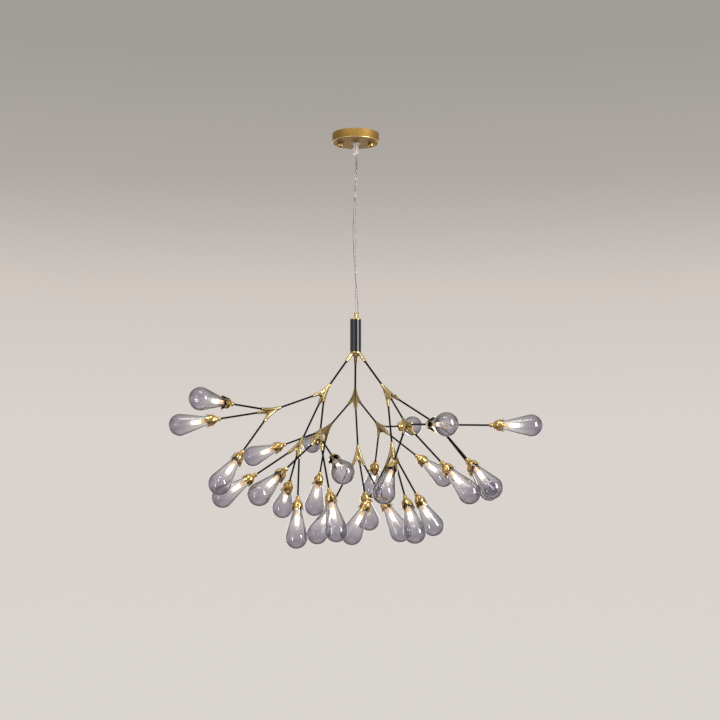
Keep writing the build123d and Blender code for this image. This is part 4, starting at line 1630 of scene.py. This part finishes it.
@dataclass
class Stage:
    """The camera, a plain pale backdrop, a soft floor far below and soft lamps."""

    camera_place: Point = (11.1, -3353.0, -954.7)
    camera_pitch: float = 6.26
    lens: float = 66.53
    sensor: float = 36.0
    floor_height: float = -2200.0
    floor_radius: float = 2600.0
    floor_whole: float = 0.4
    floor_colour: str = "#D8D1CA"
    floor_roughness: float = 0.9
    floor_rings: int = 24
    floor_sides: int = 64
    ambient: float = 0.75
    ambient_colour: str = "#FFFAF4"
    lamp_target: Point = (0.0, 0.0, -650.0)

    LAMPS: ClassVar[list[SoftLamp]] = [
        SoftLamp("strip", (1940, -1580, -300), (700, 1700), 17.0, "#EEF1FF", glinting=True),
        SoftLamp("fill", (-1700, -2100, -100), (1700, 1500), 1.5),
        SoftLamp("spark", (-700, -2300, 700), (150, 150), 60.0, glinting=True),
        SoftLamp("top", (-300, -1300, 1500), (1300, 800), 6.0),
        SoftLamp("bounce", (0, 2400, -900), (2400, 600), 2.5),
        SoftLamp("back", (-900, 2300, 500), (900, 1500), 4.0, mirrored=False),
    ]

    # Colours by the sine of the angle above the horizon: what the camera sees, and what metal
    # and glass mirror, which is the same around the horizon, dark below it and pale at both poles
    BACKDROP: ClassVar[Stops] = [
        (-0.1, "#D9D4CF"), (0.06, "#D9D2CD"), (0.16, "#D0C7C1"), (0.24, "#B0AAA4"), (0.33, "#A19D99"),
    ]
    MIRRORED: ClassVar[Stops] = [
        (-1.0, "#E6DED6"), (-0.85, "#6A6058"), (-0.6, "#453D36"), (-0.38, "#B5ADA5"), (-0.1, "#D9D4CF"),
        (0.06, "#D9D2CD"), (0.24, "#B0AAA4"), (0.45, "#8E8A86"), (0.8, "#F4F0EA"),
    ]

    def build(self) -> None:
        """Make the stage."""
        self.build_camera()
        self.build_world()
        self.build_floor()
        for lamp in self.LAMPS:
            lamp.add(self.lamp_target)
        bpy.context.scene.view_settings.view_transform = "Standard"

    def build_camera(self) -> None:
        """Stand the camera where the photograph was taken from."""
        data = bpy.data.cameras.new("camera")
        data.lens = self.lens
        data.sensor_width = self.sensor
        camera = bpy.data.objects.new("camera", data)
        camera.location = [c / METRE for c in self.camera_place]
        camera.rotation_euler = (math.radians(90 + self.camera_pitch), 0, 0)
        bpy.context.scene.collection.objects.link(camera)
        bpy.context.scene.camera = camera

    def build_world(self) -> None:
        """Paint a plain grey-to-pale backdrop, and light the object evenly from all round."""
        world = bpy.data.worlds.new("backdrop")
        bpy.context.scene.world = world
        world.use_nodes = True
        tree = world.node_tree
        tree.nodes.clear()
        split = add_node(tree, "SeparateXYZ", {0: add_node(tree, "TexCoord").outputs["Generated"]})
        rise = add_node(tree, "MapRange", {"Value": split.outputs["Z"], **limits("From", (-1.0, 1.0))})
        ramps = []
        for colours in (self.BACKDROP, self.MIRRORED):
            stops = [((sine + 1) / 2, colour) for sine, colour in colours]
            ramps.append(add_node(tree, "ValToRGB", {"Fac": rise}, stops))
        ray = add_node(tree, "LightPath").outputs
        sky = {"Factor": ray["Is Glossy Ray"], "A": ramps[0], "B": ramps[1]}
        seen = ray["Is Camera Ray"]
        for kind in ("Is Glossy Ray", "Is Transmission Ray"):
            seen = add_node(tree, "Math", {0: seen, 1: ray[kind]}, operation="MAXIMUM")
        shown = {"Color": add_node(tree, "Mix", sky, data_type="RGBA"), "Strength": 1.0}
        light = {"Color": linear(self.ambient_colour), "Strength": self.ambient}
        shown, light = (add_node(tree, "Background", inputs) for inputs in (shown, light))
        mixed = add_node(tree, "MixShader", {0: seen, 1: light, 2: shown})
        add_node(tree, "OutputWorld", {"Surface": mixed})

    def build_floor(self) -> None:
        """Lay a pale floor that fades out at its edge and is clear from below."""
        rim, middle = ((radius, self.floor_height) for radius in (self.floor_radius, 0))
        disc = lathe(np.linspace(rim, middle, self.floor_rings), self.floor_sides)
        floor = disc.piece("floor", Finish("pale floor", self.floor_colour))
        tree = floor.data.materials[0].node_tree
        place = Coordinates.OBJECT.socket(tree)
        flat = add_node(tree, "VectorMath", {0: place, 1: (1, 1, 0)}, operation="MULTIPLY")
        away = add_node(tree, "VectorMath", {0: flat}, operation="LENGTH")
        edge = self.floor_radius / METRE
        fade = add_node(tree, "MapRange", {"Value": away, **limits("From", (self.floor_whole * edge, edge))})
        below = add_node(tree, "NewGeometry").outputs["Backfacing"]
        gone = add_node(tree, "Math", {0: fade, 1: below}, operation="MAXIMUM")
        shader = tree.nodes["Principled BSDF"]
        wire(shader, {"Roughness": self.floor_roughness})
        clear = add_node(tree, "BsdfTransparent")
        mixed = add_node(tree, "MixShader", {0: gone, 1: shader, 2: clear})
        wire(tree.nodes["Material Output"], {"Surface": mixed})
        floor.visible_glossy = False


def main() -> None:
    """Build the stage and every sub-assembly, in order."""
    logging.basicConfig(level=logging.INFO, format="%(name)s %(message)s")
    limbs = limb_axes()
    for assembly in (Stage(), Suspension(), Canopy(), Hub(limbs), Rods(limbs), Junctions(limbs), Lamps()):
        assembly.build()


if __name__ == "__main__":
    main()
